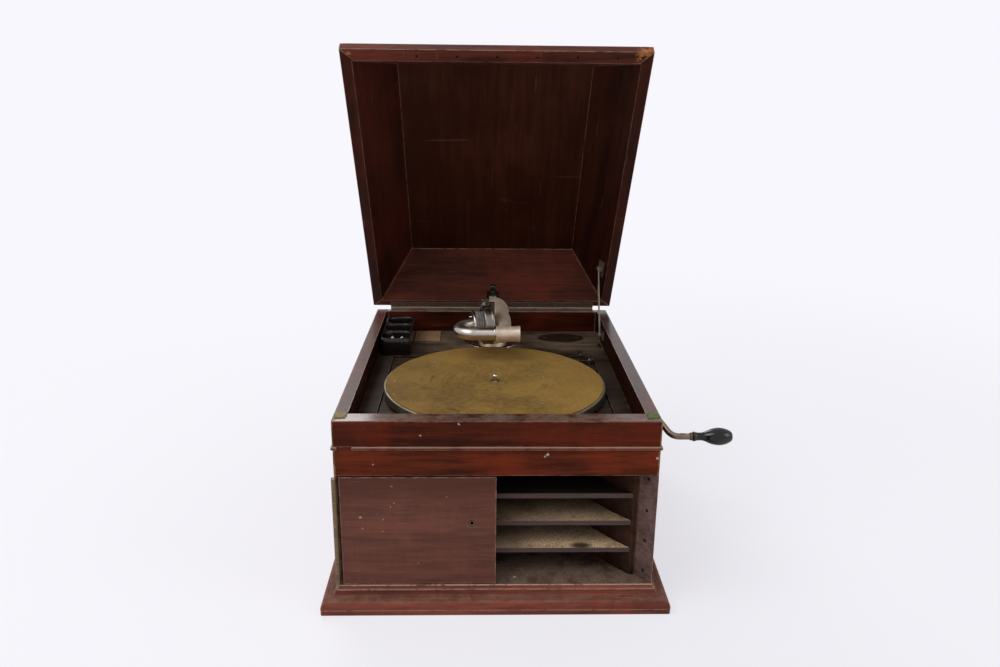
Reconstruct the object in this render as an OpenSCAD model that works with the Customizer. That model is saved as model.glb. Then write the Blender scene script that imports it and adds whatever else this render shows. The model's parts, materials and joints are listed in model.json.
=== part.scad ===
// Tabletop gramophone: wooden cabinet with a hinged lid and one front door,
// turntable, spring motor, winding crank, tone arm and sound box.
// Millimetres. The origin is the centre of the underside of the base board,
// +Z is up and the front faces -Y.

/* [Cabinet] */
// Width of the cabinet walls, outside
body_w = 385; // [360:1:410]
// Depth of the cabinet walls, outside
body_d = 476; // [450:1:500]
// Height of the rim above the table
rim_z = 247.5; // [230:0.5:260]
// Thickness of the side walls above the deck
wall_t = 16; // [14:0.5:18]
// Thickness of the side walls below the deck
wall_low_t = 18.5; // [18:0.5:19]
// Thickness of the back wall
back_t = 11.5; // [10:0.5:14]
// Thickness of the front rails
rail_t = 23.5; // [20:0.5:26]
// Height of the lower edge of the lower front rail
rail_low_z = 177; // [170:0.5:185]
// Height of the underside of the bead
bead_z = 211.2; // [205:0.1:214]
// Height of the bead
bead_h = 3.8; // [3:0.1:5]
// How far the bead stands out from the walls
bead_out = 2; // [1:0.1:3]
// How far the lower front rail is set back
rail_set_back = 1; // [0.5:0.1:2]
// Where the bead's broken stub ends, from the left wall's outside
bead_stub_l = 5; // [3:0.5:8]
// Where the unbroken bead starts, from the left wall's outside
bead_break_l = 22.5; // [12:0.5:40]

/* [Foot] */
// How far the base stands out from the walls
plinth_out = 20.8; // [15:0.1:25]
// Thickness of the base board
base_t = 7; // [5:0.5:9]
// Height of the floor's top, which is the ledge at the front
floor_z = 30; // [28:0.5:32]
// Thickness of the floor board
floor_t = 8; // [6:0.5:10]

/* [Horn] */
// Half width of the sound duct, outside
duct_half = 46; // [40:1:50]
// Height of the duct's top
duct_top_z = 98; // [90:1:100]
// Where the horn meets the duct
throat_y = -60; // [-65:1:-55]
// Thickness of the horn's boards
horn_board_t = 6; // [5:0.5:8]
// Thickness of the duct's walls
duct_wall = 4; // [3:0.5:5]
// Undersides of the three slats
slat_z = [61.1, 99.1, 136.3];
// Thickness of the slats
slat_t = 7; // [6:0.1:8]
// Depth of the slats, front to back
slat_d = 96; // [80:1:110]

/* [Door] */
// Right end of the door
door_x1 = -0.8; // [-2:0.1:-0.5]
// Lower edge of the door
door_z0 = 31.4; // [31:0.1:33]
// Upper edge of the door
door_z1 = 175.8; // [170:0.1:176]
// Thickness of the door
door_t = 20; // [18:0.5:22]
// Distance of the knob hole from the door's right end
knob_hole_in = 28.9; // [25:0.1:35]
// Height of the knob hole
knob_hole_z = 114.4; // [100:0.1:125]
// Radius of the knob hole
knob_hole_r = 2.5; // [2:0.1:3]

/* [Deck] */
// Height of the deck
deck_z = 213; // [210:0.5:214]
// Thickness of the deck
deck_t = 13; // [12:0.5:14]
// Height of the motor board in its opening
board_z = 210; // [208:0.5:211]
// How far the turntable covers the motor board's sides
board_under = 0.4; // [0.2:0.1:2]
// Back edge of the motor board
board_back_y = 95; // [90:1:100]
// Gap round the motor board
board_gap = 1; // [0.5:0.1:1.5]

/* [Lid] */
// How far the lid stands out past the side walls
lid_over_side = 6.5; // [4:0.5:8]
// How far the lid stands out past the front
lid_over_front = 6.2; // [4:0.1:10]
// Height of the lid's rim when it is closed
lid_z = 250; // [249.5:0.1:252]
// How far the closed lid's back is set in from the back wall
lid_back_in = 2; // [0:0.5:4]
// Angle at which the lid stands open
lid_open = 57.4; // [50:0.1:60]
// Width of the rim at the sides
lid_rim_side = 14.5; // [12:0.5:17]
// Width of the rim at the back
lid_rim_back = 11.5; // [10:0.5:14]
// Width of the rim at the front
lid_rim_front = 17; // [15:0.5:20]
// How far the inside slopes in
lid_splay = 50; // [45:1:55]
// Depth of the lid inside
lid_in_h = 74; // [70:1:76]
// Height of the upright outer edge
lid_edge_h = 12; // [10:1:16]
// Height of the frame's top above the rim
lid_top_h = 84; // [82:1:90]
// How far the outer cove comes in
lid_cove_in = 52; // [48:1:56]
// Bulge of the cove
lid_cove_sag = 9; // [4:0.5:10]
// Thickness of the lid's flat panel
lid_panel_t = 6; // [4:0.5:8]

/* [Lid hinge and stay] */
// Distance of the hinge axis behind the back wall
hinge_out = 3.5; // [3.2:0.1:4]
// Height of the hinge axis above the rim
hinge_up = 2; // [1.8:0.1:2.2]
// Radius of the hinge barrels
barrel_r = 3; // [2.8:0.1:3.2]
// Radius of the hinge pins
hinge_pin_r = 1.2; // [1:0.05:1.4]
// Distance of the lid hinge's ends from the walls' outside
hinge_end_in = 22; // [20:0.5:26]
// Number of knuckles of the lid hinge
knuckles = 11; // [11:1:11]
// Thickness of the hinge leaves
leaf_t = 1.1; // [0.9:0.1:1.1]
// Distance of the stay from the side wall
stay_in = 4.5; // [4:0.1:5]
// Distance of the stay's stud from the hinge axis, forwards
stud_in = 86.5; // [85:0.5:88]
// Height of the stay's stud
stud_z = 230; // [228:0.5:232]
// Height of the stay's pivot above the closed lid's rim
stay_up_h = 10.6; // [10:0.1:11]
// Distance of the stay's pivot from the hinge axis when closed
stay_up_in = 85.3; // [84:0.1:87]
// Length of the stay beyond its pivot
stay_len = 116; // [114:0.5:118]
// Width of the stay
stay_w = 9.5; // [9:0.1:10]
// Thickness of the stay
stay_t = 1.5; // [1:0.1:2]

/* [Turntable] */
// Distance of the spindle in front of the cabinet's centre
spindle_in = 46; // [40:1:50]
// Radius of the turntable
table_r = 152.4; // [148:0.1:152.4]
// Height of the turntable's rim
table_z = 224.5; // [223:0.5:226]
// Height of the rim's side
table_side = 11; // [9:0.5:11]
// Thickness of the sheet steel
table_t = 1.6; // [1.2:0.1:2]
// Thickness of the felt
felt_t = 1.5; // [1:0.1:2]
// Radius of the spindle's free end
spindle_r = 3.1; // [2.9:0.05:3.6]
// Radius of the spindle's shaft
shaft_r = 3.8; // [3.7:0.05:4.2]
// Height of the spindle's tip
spindle_top_z = 235.6; // [232:0.1:240]

/* [Tone arm] */
// Distance of the arm's pivot from the back wall
arm_in = 52.5; // [48:0.5:56]
// Height of the arm's level tube
arm_z = 268; // [264:0.5:272]
// Radius of the arm's flange
flange_r = 46; // [42:0.5:50]
// Thickness of the flange
flange_t = 3.5; // [3:0.1:5]
// Radius of the arm's upright tube
elbow_r = 21; // [19:0.5:22]
// Radius of the elbow's bend
elbow_bend = 24; // [23:0.5:26]
// Thickness of the arm's wall
arm_wall = 2; // [1.5:0.1:3]
// Radius of the tube at its front
arm_tip_r = 9.5; // [9:0.1:10.5]
// Radius of the sleeve that holds the gooseneck
sleeve_r = 11.6; // [11:0.1:12.5]
// Where the sleeve is
sleeve_y = 35; // [32:1:38]
// Left end of the sleeve
sleeve_x0 = 2.8; // [2.5:0.1:3.5]
// Right end of the sleeve
sleeve_x1 = 37.8; // [35:0.1:40]

/* [Sound box] */
// Radius of the gooseneck
neck_r = 9.5; // [9:0.1:9.6]
// Radius of the gooseneck's bend
neck_bend = 21.5; // [20:0.1:22]
// Centre of the gooseneck's bend across the cabinet
neck_x = -28.5; // [-32:0.5:-27]
// Angle of the gooseneck's bend
neck_turn = 170; // [166:1:174]
// Back of the sound box, from the middle of its needle bar's plane
box_x0 = -33; // [-34:0.5:-32]
// Radius of the back plate
back_plate_r = 22; // [20:0.5:24]
// Radius of the sound box
box_r = 30; // [28:0.5:30.5]
// Front of the sound box
box_x1 = -2.5; // [-3:0.1:-2]
// Radius of the diaphragm
diaphragm_r = 26; // [24:0.5:27]
// Radius of the needle's hole
needle_hole_r = 0.9; // [0.8:0.05:1]

/* [Crank] */
// Distance of the crank's shaft behind the cabinet's centre
crank_y = 20; // [18:0.5:22]
// Height of the crank's shaft
crank_z = 182; // [181.5:0.1:182.2]
// Radius of the crank's rod
crank_r = 4.5; // [4:0.1:4.6]
// Throw of the crank towards the front
throw_y = 66; // [60:1:70]
// Throw of the crank downwards
throw_z = 40; // [35:1:45]
// Distance of the rod's first bend from the wall
bend_out = 19.5; // [16:0.5:24]
// Distance between the rod's two bends, across
bend_w = 40; // [34:1:46]
// Distance of the grip from the second bend
grip_out = 29; // [26:0.5:33]
// Length of the grip
grip_l = 56; // [52:1:60]
// Largest radius of the grip
grip_r = 12.6; // [12:0.1:14]
// Radius of the rod's end inside the grip
grip_pin_r = 3.2; // [2.8:0.1:3.6]

/* [Motor] */
// Tooth size of the great gear and the pinion
module_mm = 1.5; // [1.5:0.1:1.5]
// Teeth of the great gear
great_teeth = 72; // [72:1:72]
// Teeth of the spindle's pinion
pinion_teeth = 20; // [20:1:20]
// Teeth of the worm wheel
worm_wheel_teeth = 48; // [48:1:48]
// Teeth of the crank's pinion
crank_teeth = 16; // [16:1:16]
// Teeth of the crown wheel
crown_teeth = 44; // [44:1:44]
// Distance of the spring barrel to the right of the spindle
barrel_x = 20; // [20:1:20]
// Radius of the spring barrel
spring_r = 48; // [46:0.5:50]
// Underside of the motor's top plate
bed_z = 191; // [190.5:0.1:191.5]
// Height of the bottom plate's top
bottom_z = 113; // [112:0.5:114]
// Radius of the governor's weights about its shaft
governor_r = 16; // [14:0.5:18]

/* [Clearances] */
// Radial gap of a shaft in its bearing
run_gap = 0.05; // [0.03:0.01:0.08]
// Gap between pieces that pass each other
pass_gap = 0.3; // [0.3:0.05:0.5]

/* [Show] */
// Sub-part to show

/* [Hidden] */
$fn = 48;

hw = body_w / 2;
hd = body_d / 2;
in_x = hw - wall_t;
low_x = hw - wall_low_t;
in_back_y = hd - back_t;
in_front_y = -hd + rail_t;
deck_under_z = deck_z - deck_t;
bead_top_z = bead_z + bead_h;
mitre_in_y = -hd + 21;
door_axis = [-hw - 0.5, -hd - 0.5];
mitre_angle = atan2(mitre_in_y + hd, wall_low_t);
door_leaf_w = 19;
door_leaf_in = 3.6;
hinge_y = hd + hinge_out;
hinge_z = rim_z + hinge_up;
spindle_y = -spindle_in;
barrel_y = crank_y;
mouth_half = low_x;
board_half = table_r - board_under;
lid_w = body_w + 2 * lid_over_side;
lid_len = body_d + lid_over_front - lid_back_in;
lid_back_y = hd - lid_back_in;
lid_hinge_x0 = -hw + hinge_end_in;
knuckle_l = (body_w - 2 * hinge_end_in) / knuckles;
stay_x = in_x - stay_in;
stud_y = hinge_y - stud_in;
arm_y = in_back_y - arm_in;
bend_x0 = hw + bend_out;
bend_x1 = bend_x0 + bend_w;
grip_x0 = bend_x1 + grip_out;
grip_y = crank_y - throw_y;
grip_z = crank_z - throw_z;
bore_r = hinge_pin_r + run_gap;

// Wood colours for the preview
mahogany = [0.36, 0.16, 0.09];
dull_wood = [0.33, 0.2, 0.16];
dusty_wood = [0.5, 0.44, 0.38];
dark_wood = [0.1, 0.06, 0.05];
steel = [0.6, 0.6, 0.62];
nickel = [0.72, 0.7, 0.66];
aged_brass = [0.55, 0.45, 0.3];
black = [0.03, 0.03, 0.03];
iron = [0.15, 0.15, 0.16];

// Extrudes a Y-Z outline along X
module along_x(x0, x1) {
  translate([x0, 0, 0]) rotate([90, 0, 90]) linear_extrude(x1 - x0) children();
}

// Extrudes an X-Z outline along Y
module along_y(y0, y1) {
  translate([0, y1, 0]) rotate([90, 0, 0]) linear_extrude(y1 - y0) children();
}

// A box from its two corners
module block(a, b) {
  translate(a) cube(b - a);
}

// A round bar between two points, tapered if the radii differ
module bar(a, b, ra, rb) {
  d = b - a;
  len = norm(d);
  translate(a) rotate([0, acos(d[2] / len), atan2(d[1], d[0])]) cylinder(h = len, r1 = ra, r2 = rb);
}

// A cylinder along X
module rod_x(x0, x1, r) {
  translate([x0, 0, 0]) rotate([0, 90, 0]) cylinder(h = x1 - x0, r = r);
}

// Flat outline of a gear with straight-sided teeth
module gear_outline(teeth, tip_r, root_r, tip_w, root_w) {
  step = 360 / teeth;
  at = asin(tip_w / 2 / tip_r);
  ar = asin(root_w / 2 / root_r);
  polygon([for (i = [0 : teeth - 1], p = [[root_r, -ar], [tip_r, -at], [tip_r, at], [root_r, ar]])
    [p[0] * cos(i * step + p[1]), p[0] * sin(i * step + p[1])]]);
}

// Wood screw, its flat head's top at the origin, pointing down
screw_head_r = 2.2;
screw_head_t = 0.8;
screw_r = 1.1;
module wood_screw(len) {
  translate([0, 0, -screw_head_t]) cylinder(h = screw_head_t, r = screw_head_r);
  translate([0, 0, -len]) cylinder(h = len - screw_head_t + 0.1, r = screw_r);
}

// The space that a wood screw fills
module screw_hole(len) {
  translate([0, 0, -screw_head_t]) cylinder(h = screw_head_t + 1, r = screw_head_r);
  translate([0, 0, -len - 0.2]) cylinder(h = len, r = screw_r);
}

hinge_screw_l = 10;

// How much a ball at a bend is larger than the tube it joins
knuckle = 0.3;

// Base board and plinth

base_hw = hw + plinth_out;
base_hd = hd + plinth_out;

module base_board() {
  color(mahogany) block([-base_hw, -base_hd, 0], [base_hw, base_hd, base_t]);
}

// Half of the moulding's outline: distance out from the wall, height
module moulding_outline(half) {
  round_r = 8;
  cove_r = 7.2;
  edge = 3;
  cove_x = half + 11.6;
  cove_z = floor_z - 5;
  w = half + plinth_out;
  top_z = base_t + edge + round_r;
  difference() {
    polygon([[-w, base_t], [-w, top_z], [-cove_x, top_z], [-cove_x, cove_z], [-half - 3, cove_z + 0.6],
      [-half, floor_z], [half, floor_z], [half + 3, cove_z + 0.6], [cove_x, cove_z], [cove_x, top_z], [w, top_z],
      [w, base_t]]);
    for (s = [-1, 1]) {
      translate([s * cove_x, cove_z + 0.3]) circle(cove_r);
      translate([s * (w - round_r), top_z - round_r]) difference() {
        translate([s > 0 ? 0 : -round_r - 1, 0]) square(round_r + 1);
        circle(round_r);
      }
    }
  }
}

module plinth_moulding() {
  frame_w = 14;
  color(mahogany) difference() {
    intersection() {
      along_x(-base_hw, base_hw) moulding_outline(hd);
      along_y(-base_hd, base_hd) moulding_outline(hw);
    }
    block([-hw + frame_w, -hd + frame_w, 0], [hw - frame_w, hd - frame_w, floor_z + 1]);
    block([-hw, -hd, floor_z - floor_t], [hw, hd, floor_z + 1]);
  }
}

module floor_board() {
  color(dusty_wood) block([-hw, -hd, floor_z - floor_t], [hw, hd, floor_z]);
}

// Cabinet walls

// Where the corner joint of the front rails crosses a given depth
function corner_x(y) = hw - wall_t * (y + hd) / rail_t;

// Screw positions down the door hinges
door_screw_z = [42.1, 83.8, 125.2, 167.7];

// Places children on the left mitred face, pointing into the side panel
module on_left_mitre(depth, z) {
  translate([door_axis[0], door_axis[1], z]) rotate([0, 0, mitre_angle])
    translate([depth, 0, 0]) rotate([-90, 0, 0]) children();
}

module side_wall() {
  translate([0, 0, floor_z]) linear_extrude(rail_low_z - floor_z)
    polygon([[hw, -hd], [hw, hd], [low_x, hd], [low_x, mitre_in_y]]);
  cut_y = -hd + rail_set_back;
  translate([0, 0, rail_low_z]) linear_extrude(deck_under_z - rail_low_z)
    polygon([[corner_x(cut_y), cut_y], [hw, cut_y], [hw, hd], [low_x, hd], [low_x, in_front_y],
      [in_x, in_front_y]]);
  translate([0, 0, deck_under_z]) linear_extrude(bead_top_z - deck_under_z)
    polygon([[corner_x(cut_y), cut_y], [hw, cut_y], [hw, hd], [low_x, hd], [low_x, in_back_y],
      [in_x, in_back_y], [in_x, in_front_y]]);
  translate([0, 0, bead_top_z]) linear_extrude(rim_z - bead_top_z)
    polygon([[hw, -hd], [hw, hd], [low_x, hd], [low_x, in_back_y], [in_x, in_back_y],
      [in_x, in_front_y]]);
}

crank_hole_r = 6;

module side_panel_right() {
  color(mahogany) difference() {
    side_wall();
    translate([0, crank_y, crank_z]) rod_x(low_x - 1, hw + 1, crank_hole_r);
    mirror([1, 0, 0]) for (z = door_screw_z) on_left_mitre(15, z)
      translate([0, 0, -14]) cylinder(h = 16, r = 1.2);
    translate([0, stud_y, stud_z]) rod_x(in_x - 1, in_x + stud_l, stud_r);
    at_stay_screws() screw_hole(hinge_screw_l);
    at_escutcheon_screws() screw_hole(hinge_screw_l);
  }
}

module side_panel_left() {
  color(mahogany) difference() {
    mirror([1, 0, 0]) side_wall();
    translate([door_axis[0], door_axis[1], floor_z - 1])
      cylinder(h = rail_low_z - floor_z + 1, r = barrel_r + pass_gap);
    door_leaf_shape(-1, hinge_half, tab_in);
    at_door_screws(1) screw_hole(hinge_screw_l);
  }
}

module back_panel() {
  color(mahogany) difference() {
    block([-low_x, in_back_y, floor_z], [low_x, hd, rim_z]);
    at_lid_screws(0) screw_hole(hinge_screw_l);
  }
}

module upper_front_rail() {
  color(mahogany) translate([0, 0, bead_top_z]) linear_extrude(rim_z - bead_top_z)
    polygon([[-hw, -hd], [hw, -hd], [in_x, in_front_y], [-in_x, in_front_y]]);
}

module lower_front_rail() {
  y = -hd + rail_set_back;
  x = corner_x(y);
  color(mahogany) translate([0, 0, rail_low_z]) linear_extrude(bead_top_z - rail_low_z)
    polygon([[-x, y], [x, y], [in_x, in_front_y], [-in_x, in_front_y]]);
}

module bead_moulding() {
  front_y = -hd - bead_out;
  side_x = hw + bead_out;
  stub_x = -hw + bead_stub_l;
  break_x = -hw + bead_break_l;
  color(dusty_wood) {
    difference() {
      block([break_x, front_y, bead_z], [side_x, hd, bead_top_z]);
      block([-hw, -hd + rail_set_back, 0], [hw, hd + 1, rim_z]);
    }
    difference() {
      block([-side_x, front_y, bead_z], [stub_x, hd, bead_top_z]);
      block([-hw, -hd + rail_set_back, 0], [hw, hd + 1, rim_z]);
    }
  }
}

// Deck

module motor_board() {
  color(dull_wood) difference() {
    block([-board_half, in_front_y + 0.5, board_z - deck_t], [board_half, board_back_y, board_z]);
    translate([0, spindle_y, 0]) cylinder(h = rim_z, r = 8);
    at_motor_bolts() cylinder(h = rim_z, r = bolt_r);
    translate([brake_pivot[0], brake_pivot[1], 0]) cylinder(h = rim_z, r = 2);
  }
}

module board_surround() {
  lip = 6;
  color(dull_wood) difference() {
    block([-in_x, in_front_y + 0.5, deck_under_z - deck_t + 2], [in_x, in_back_y, deck_z]);
    difference() {
      block([-board_half - board_gap, in_front_y, 0],
        [board_half + board_gap, board_back_y + board_gap, rim_z]);
      block([-board_half - 2, in_front_y, 0],
        [-board_half + lip, board_back_y + board_gap, board_z - deck_t]);
      block([board_half - lip, in_front_y, 0],
        [board_half + 2, board_back_y + board_gap, board_z - deck_t]);
    }
    for (s = [-1, 1]) block([s > 0 ? low_x - pass_gap : -in_x - 1, -hd, 0],
      [s > 0 ? in_x + 1 : -low_x + pass_gap, hd, deck_under_z]);
    block([-board_half + lip + 8, board_back_y + board_gap, 0], [board_half - lip - 8, hd, deck_under_z]);
    translate([0, arm_y, 0]) cylinder(h = rim_z, r = duct_tube_r);
    block([stay_x - 2.2, stud_y - 17, 0], [stay_x + 2.2, stud_y + 7, rim_z]);
    at_deck_screws() screw_hole(hinge_screw_l);
  }
}

// Horn

horn_slope = (rail_low_z - duct_top_z) / (throat_y + hd - 21);
mouth_y = mitre_in_y - 1;

// Outline of the space under the horn's top, from the side
module under_top_outline(lift) {
  polygon([[mouth_y - 1, 0], [mouth_y - 1, rail_low_z + lift + horn_slope], [throat_y - 2, duct_top_z + lift
    + horn_slope], [throat_y - 2, 0]]);
}

// Flare of the horn: share of the width that it gains over the duct, share of the length
horn_flare = [[1, 1], [0.841, 0.858], [0.687, 0.691], [0.484, 0.487], [0.25, 0.25], [0, 0]];
throat_in_y = throat_y - 2;
// Plan of the horn's inside, from the mouth to the throat
horn_plan = [for (f = horn_flare)
  [duct_half + f[0] * (mouth_half - duct_half), throat_in_y + f[1] * (mouth_y - throat_in_y)]];

module horn_plan_outline(grow) {
  pts = [for (p = horn_plan) [p[0] + grow, p[1]]];
  polygon(concat(pts, [for (i = [len(pts) - 1 : -1 : 0]) [-pts[i][0], pts[i][1]]]));
}

module horn_top() {
  color(dark_wood) intersection() {
    difference() {
      along_x(-low_x, low_x) under_top_outline(7);
      along_x(-low_x - 1, low_x + 1) under_top_outline(0);
    }
    linear_extrude(rim_z) horn_plan_outline(0);
    block([-hw, in_front_y + pass_gap, 0], [hw, 0, rail_low_z + 8]);
  }
}

module horn_sides() {
  color(dark_wood) intersection() {
    difference() {
      translate([0, 0, floor_z]) linear_extrude(rim_z) horn_plan_outline(0);
      translate([0, 0, floor_z - 1]) linear_extrude(rim_z) horn_plan_outline(-horn_board_t);
    }
    along_x(-low_x, low_x) under_top_outline(0);
    block([-low_x, mouth_y, floor_z], [low_x, throat_y, rail_low_z]);
  }
}

module horn_slats() {
  color(dusty_wood) intersection() {
    for (z = slat_z) block([-mouth_half, mouth_y + 1, z], [mouth_half, mouth_y + slat_d, z + slat_t]);
    linear_extrude(rim_z) horn_plan_outline(-horn_board_t);
    along_x(-low_x, low_x) under_top_outline(-0.1);
  }
}

duct_tube_r = 25;
duct_back_y = arm_y + 26;

module horn_elbow() {
  w = duct_wall;
  color(iron) difference() {
    union() {
      block([-duct_half, throat_y, floor_z], [duct_half, duct_back_y, duct_top_z]);
      translate([0, arm_y, floor_z]) cylinder(h = deck_z - floor_z, r = duct_tube_r);
    }
    block([-duct_half + w, throat_y - 1, floor_z + w], [duct_half - w, duct_back_y - w, duct_top_z - w]);
    translate([0, arm_y, floor_z + w]) cylinder(h = rim_z, r = duct_tube_r - w);
  }
}

// Screws of the fixed pieces

module at_door_screws(side) {
  for (z = door_screw_z) on_left_mitre(door_leaf_in + door_leaf_w * 0.62, z)
    translate([0, 0, side > 0 ? hinge_half - leaf_t : -hinge_half + leaf_t]) rotate([side > 0 ? 180 : 0, 0, 0])
      children();
}

lid_leaf_y0 = in_back_y + 1;
lid_screws_n = 8;

// Lid hinge screws: 0 down into the back panel, 1 up into the closed lid
module at_lid_screws(side) {
  pitch = knuckle_l * knuckles / lid_screws_n;
  for (i = [0 : lid_screws_n - 1])
    translate([lid_hinge_x0 + pitch * (i + 0.5), lid_leaf_y0 + 5, side > 0 ? lid_z - leaf_t : rim_z + leaf_t])
      rotate([side > 0 ? 180 : 0, 0, 0]) children();
}

flange_screw_r = 28;
module at_deck_screws() {
  for (a = [30, 150, 270]) translate([flange_screw_r * cos(a), arm_y + flange_screw_r * sin(a),
    deck_z + flange_t]) children();
  for (x = [-1, 1]) translate([plate_c[0] + x * 15, plate_c[1], deck_z + plate_t]) children();
  for (x = [-1, 1]) translate([oval_c[0] + x * 26, oval_c[1], deck_z + plate_t]) children();
}

stay_plate_t = 1.5;
module at_stay_screws() {
  for (y = [-1, 1]) translate([in_x - stay_plate_t, stud_y + y * 9, stud_z]) rotate([0, -90, 0]) children();
}

module at_escutcheon_screws() {
  for (y = [-1, 1]) translate([hw + escutcheon_t, crank_y + y * 10.5, crank_z]) rotate([0, 90, 0]) children();
}

module cabinet_screws() {
  color(aged_brass) {
    at_door_screws(1) wood_screw(hinge_screw_l);
    at_lid_screws(0) wood_screw(hinge_screw_l);
    at_deck_screws() wood_screw(hinge_screw_l);
    at_stay_screws() wood_screw(hinge_screw_l);
    at_escutcheon_screws() wood_screw(hinge_screw_l);
  }
}

module rim_felt_pads() {
  pad_t = 2.1;
  color([0.45, 0.4, 0.2]) for (s = [-1, 1])
    translate([s * (hw - 8.8), -hd + 16, rim_z]) translate([-8.5, -9, 0]) cube([17, 18, pad_t]);
}

// Door and its hinge

// Half of the space between the mitred faces
hinge_half = 1.4;
door_knuckles = 9;

// A slab along the door's hinge, between two distances from the middle of its gap
module door_leaf_shape(y0, y1, x0) {
  z0 = door_z0 + 0.5;
  z1 = door_z1 - 0.5;
  translate([door_axis[0], door_axis[1], z0]) rotate([0, 0, mitre_angle])
    translate([x0, y0, 0]) cube([door_leaf_in + door_leaf_w - x0, y1 - y0, z1 - z0]);
}

// How far from the axis the knuckles' tabs start
tab_in = 1.8;

// One leaf of the door's hinge: side 1 on the cabinet, side -1 on the door
module door_leaf(side) {
  z0 = door_z0 + 0.5;
  z1 = door_z1 - 0.5;
  pitch = (z1 - z0) / door_knuckles;
  y0 = side > 0 ? hinge_half - leaf_t : -hinge_half;
  first = side > 0 ? 0 : 1;
  difference() {
    union() {
      door_leaf_shape(y0, y0 + leaf_t, door_leaf_in);
      for (i = [first : 2 : door_knuckles - 1]) translate([door_axis[0], door_axis[1], z0 + i * pitch + 0.15])
        rotate([0, 0, mitre_angle]) {
          cylinder(h = pitch - 0.3, r = barrel_r);
          translate([tab_in, y0 + 0.1, 0.1]) cube([door_leaf_in, leaf_t - 0.2, pitch - 0.5]);
        }
    }
    translate([door_axis[0], door_axis[1], 0]) cylinder(h = rim_z, r = bore_r);
    at_door_screws(side) screw_hole(hinge_screw_l);
  }
}

module door_hinge_cabinet_leaf() {
  color(aged_brass) door_leaf(1);
}

module door_hinge_door_leaf() {
  color(aged_brass) door_leaf(-1);
}

module door_panel() {
  ring_r = 5.8;
  knob_x = door_x1 - knob_hole_in;
  color(dull_wood) difference() {
    block([door_axis[0], -hd, door_z0], [door_x1, -hd + door_t, door_z1]);
    translate([door_axis[0], door_axis[1], 0]) rotate([0, 0, mitre_angle])
      translate([-20, -hinge_half, 0]) cube([60, 60, rim_z]);
    translate([door_axis[0], door_axis[1], 0]) cylinder(h = rim_z, r = 6);
    translate([knob_x, 0, knob_hole_z]) rotate([90, 0, 0]) cylinder(h = hd + 1, r = knob_hole_r);
    translate([knob_x, -hd + 0.4, knob_hole_z]) rotate([90, 0, 0]) cylinder(h = 1, r = ring_r);
    at_door_screws(-1) screw_hole(hinge_screw_l);
  }
}

module door_screws() {
  color(aged_brass) at_door_screws(-1) wood_screw(hinge_screw_l);
}

module hinge_pins() {
  color(steel) {
    translate([door_axis[0], door_axis[1], door_z0 + 0.6])
      cylinder(h = door_z1 - door_z0 - 1.2, r = hinge_pin_r);
    translate([0, hinge_y, hinge_z])
      rod_x(lid_hinge_x0 + 0.3, lid_hinge_x0 + knuckles * knuckle_l - 0.3, hinge_pin_r);
  }
}

// Lid hinge: side 0 on the cabinet, side 1 on the lid
module lid_leaf(side) {
  z0 = side > 0 ? lid_z - leaf_t : rim_z;
  y1 = hinge_y - barrel_r - pass_gap;
  x1 = lid_hinge_x0 + knuckles * knuckle_l;
  difference() {
    union() {
      block([lid_hinge_x0, lid_leaf_y0, z0], [x1, y1, z0 + leaf_t]);
      for (i = [side : 2 : knuckles - 1]) {
        k0 = lid_hinge_x0 + i * knuckle_l + 0.15;
        k1 = k0 + knuckle_l - 0.3;
        block([k0, y1 - 1, z0], [k1, hinge_y - 1.6, z0 + leaf_t]);
        translate([0, hinge_y, hinge_z]) rod_x(k0, k1, barrel_r);
      }
    }
    translate([0, hinge_y, hinge_z]) rod_x(lid_hinge_x0 - 1, x1 + 1, bore_r);
    at_lid_screws(side) screw_hole(hinge_screw_l);
  }
}

module lid_hinge_cabinet_leaf() {
  color(nickel) lid_leaf(0);
}

// Lid, modelled closed and turned up about the hinge

module opened() {
  translate([0, hinge_y, hinge_z]) rotate([-lid_open, 0, 0]) translate([0, -hinge_y, -hinge_z]) children();
}

lid_hw = lid_w / 2;
lid_mid_y = lid_back_y - lid_len / 2;
cove_z0 = lid_edge_h + 7;
cove_a = [4, cove_z0];
cove_b = [lid_cove_in, lid_top_h];
cove_c = norm(cove_b - cove_a);
cove_radius = cove_c * cove_c / (8 * lid_cove_sag) + lid_cove_sag / 2;
cove_n = [-(cove_b[1] - cove_a[1]), cove_b[0] - cove_a[0]] / cove_c;
cove_centre = (cove_a + cove_b) / 2 + (cove_radius - lid_cove_sag) * cove_n;

// Outer outline of the lid: half is half its width
module lid_outer(half) {
  difference() {
    polygon([[-half, 0], [half, 0], [half, lid_edge_h], [half - 4, lid_edge_h + 4], [half - 4, cove_z0],
      [half - lid_cove_in, lid_top_h], [-half + lid_cove_in, lid_top_h], [-half + 4, cove_z0],
      [-half + 4, lid_edge_h + 4], [-half, lid_edge_h]]);
    for (s = [-1, 1]) translate([s * (half - cove_centre[0]), cove_centre[1]]) circle(cove_radius, $fn = 96);
  }
}

// Inner outline of the lid between two rim edges
module lid_inner(a, b) {
  polygon([[a, -1], [b, -1], [b, 0], [b - lid_splay, lid_in_h], [a + lid_splay, lid_in_h], [a, 0]]);
}

panel_hw = lid_hw - lid_rim_side - lid_splay + 5;
panel_y0 = lid_back_y - lid_len + lid_rim_front + lid_splay - 5;
panel_y1 = lid_back_y - lid_rim_back - lid_splay + 5;

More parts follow.
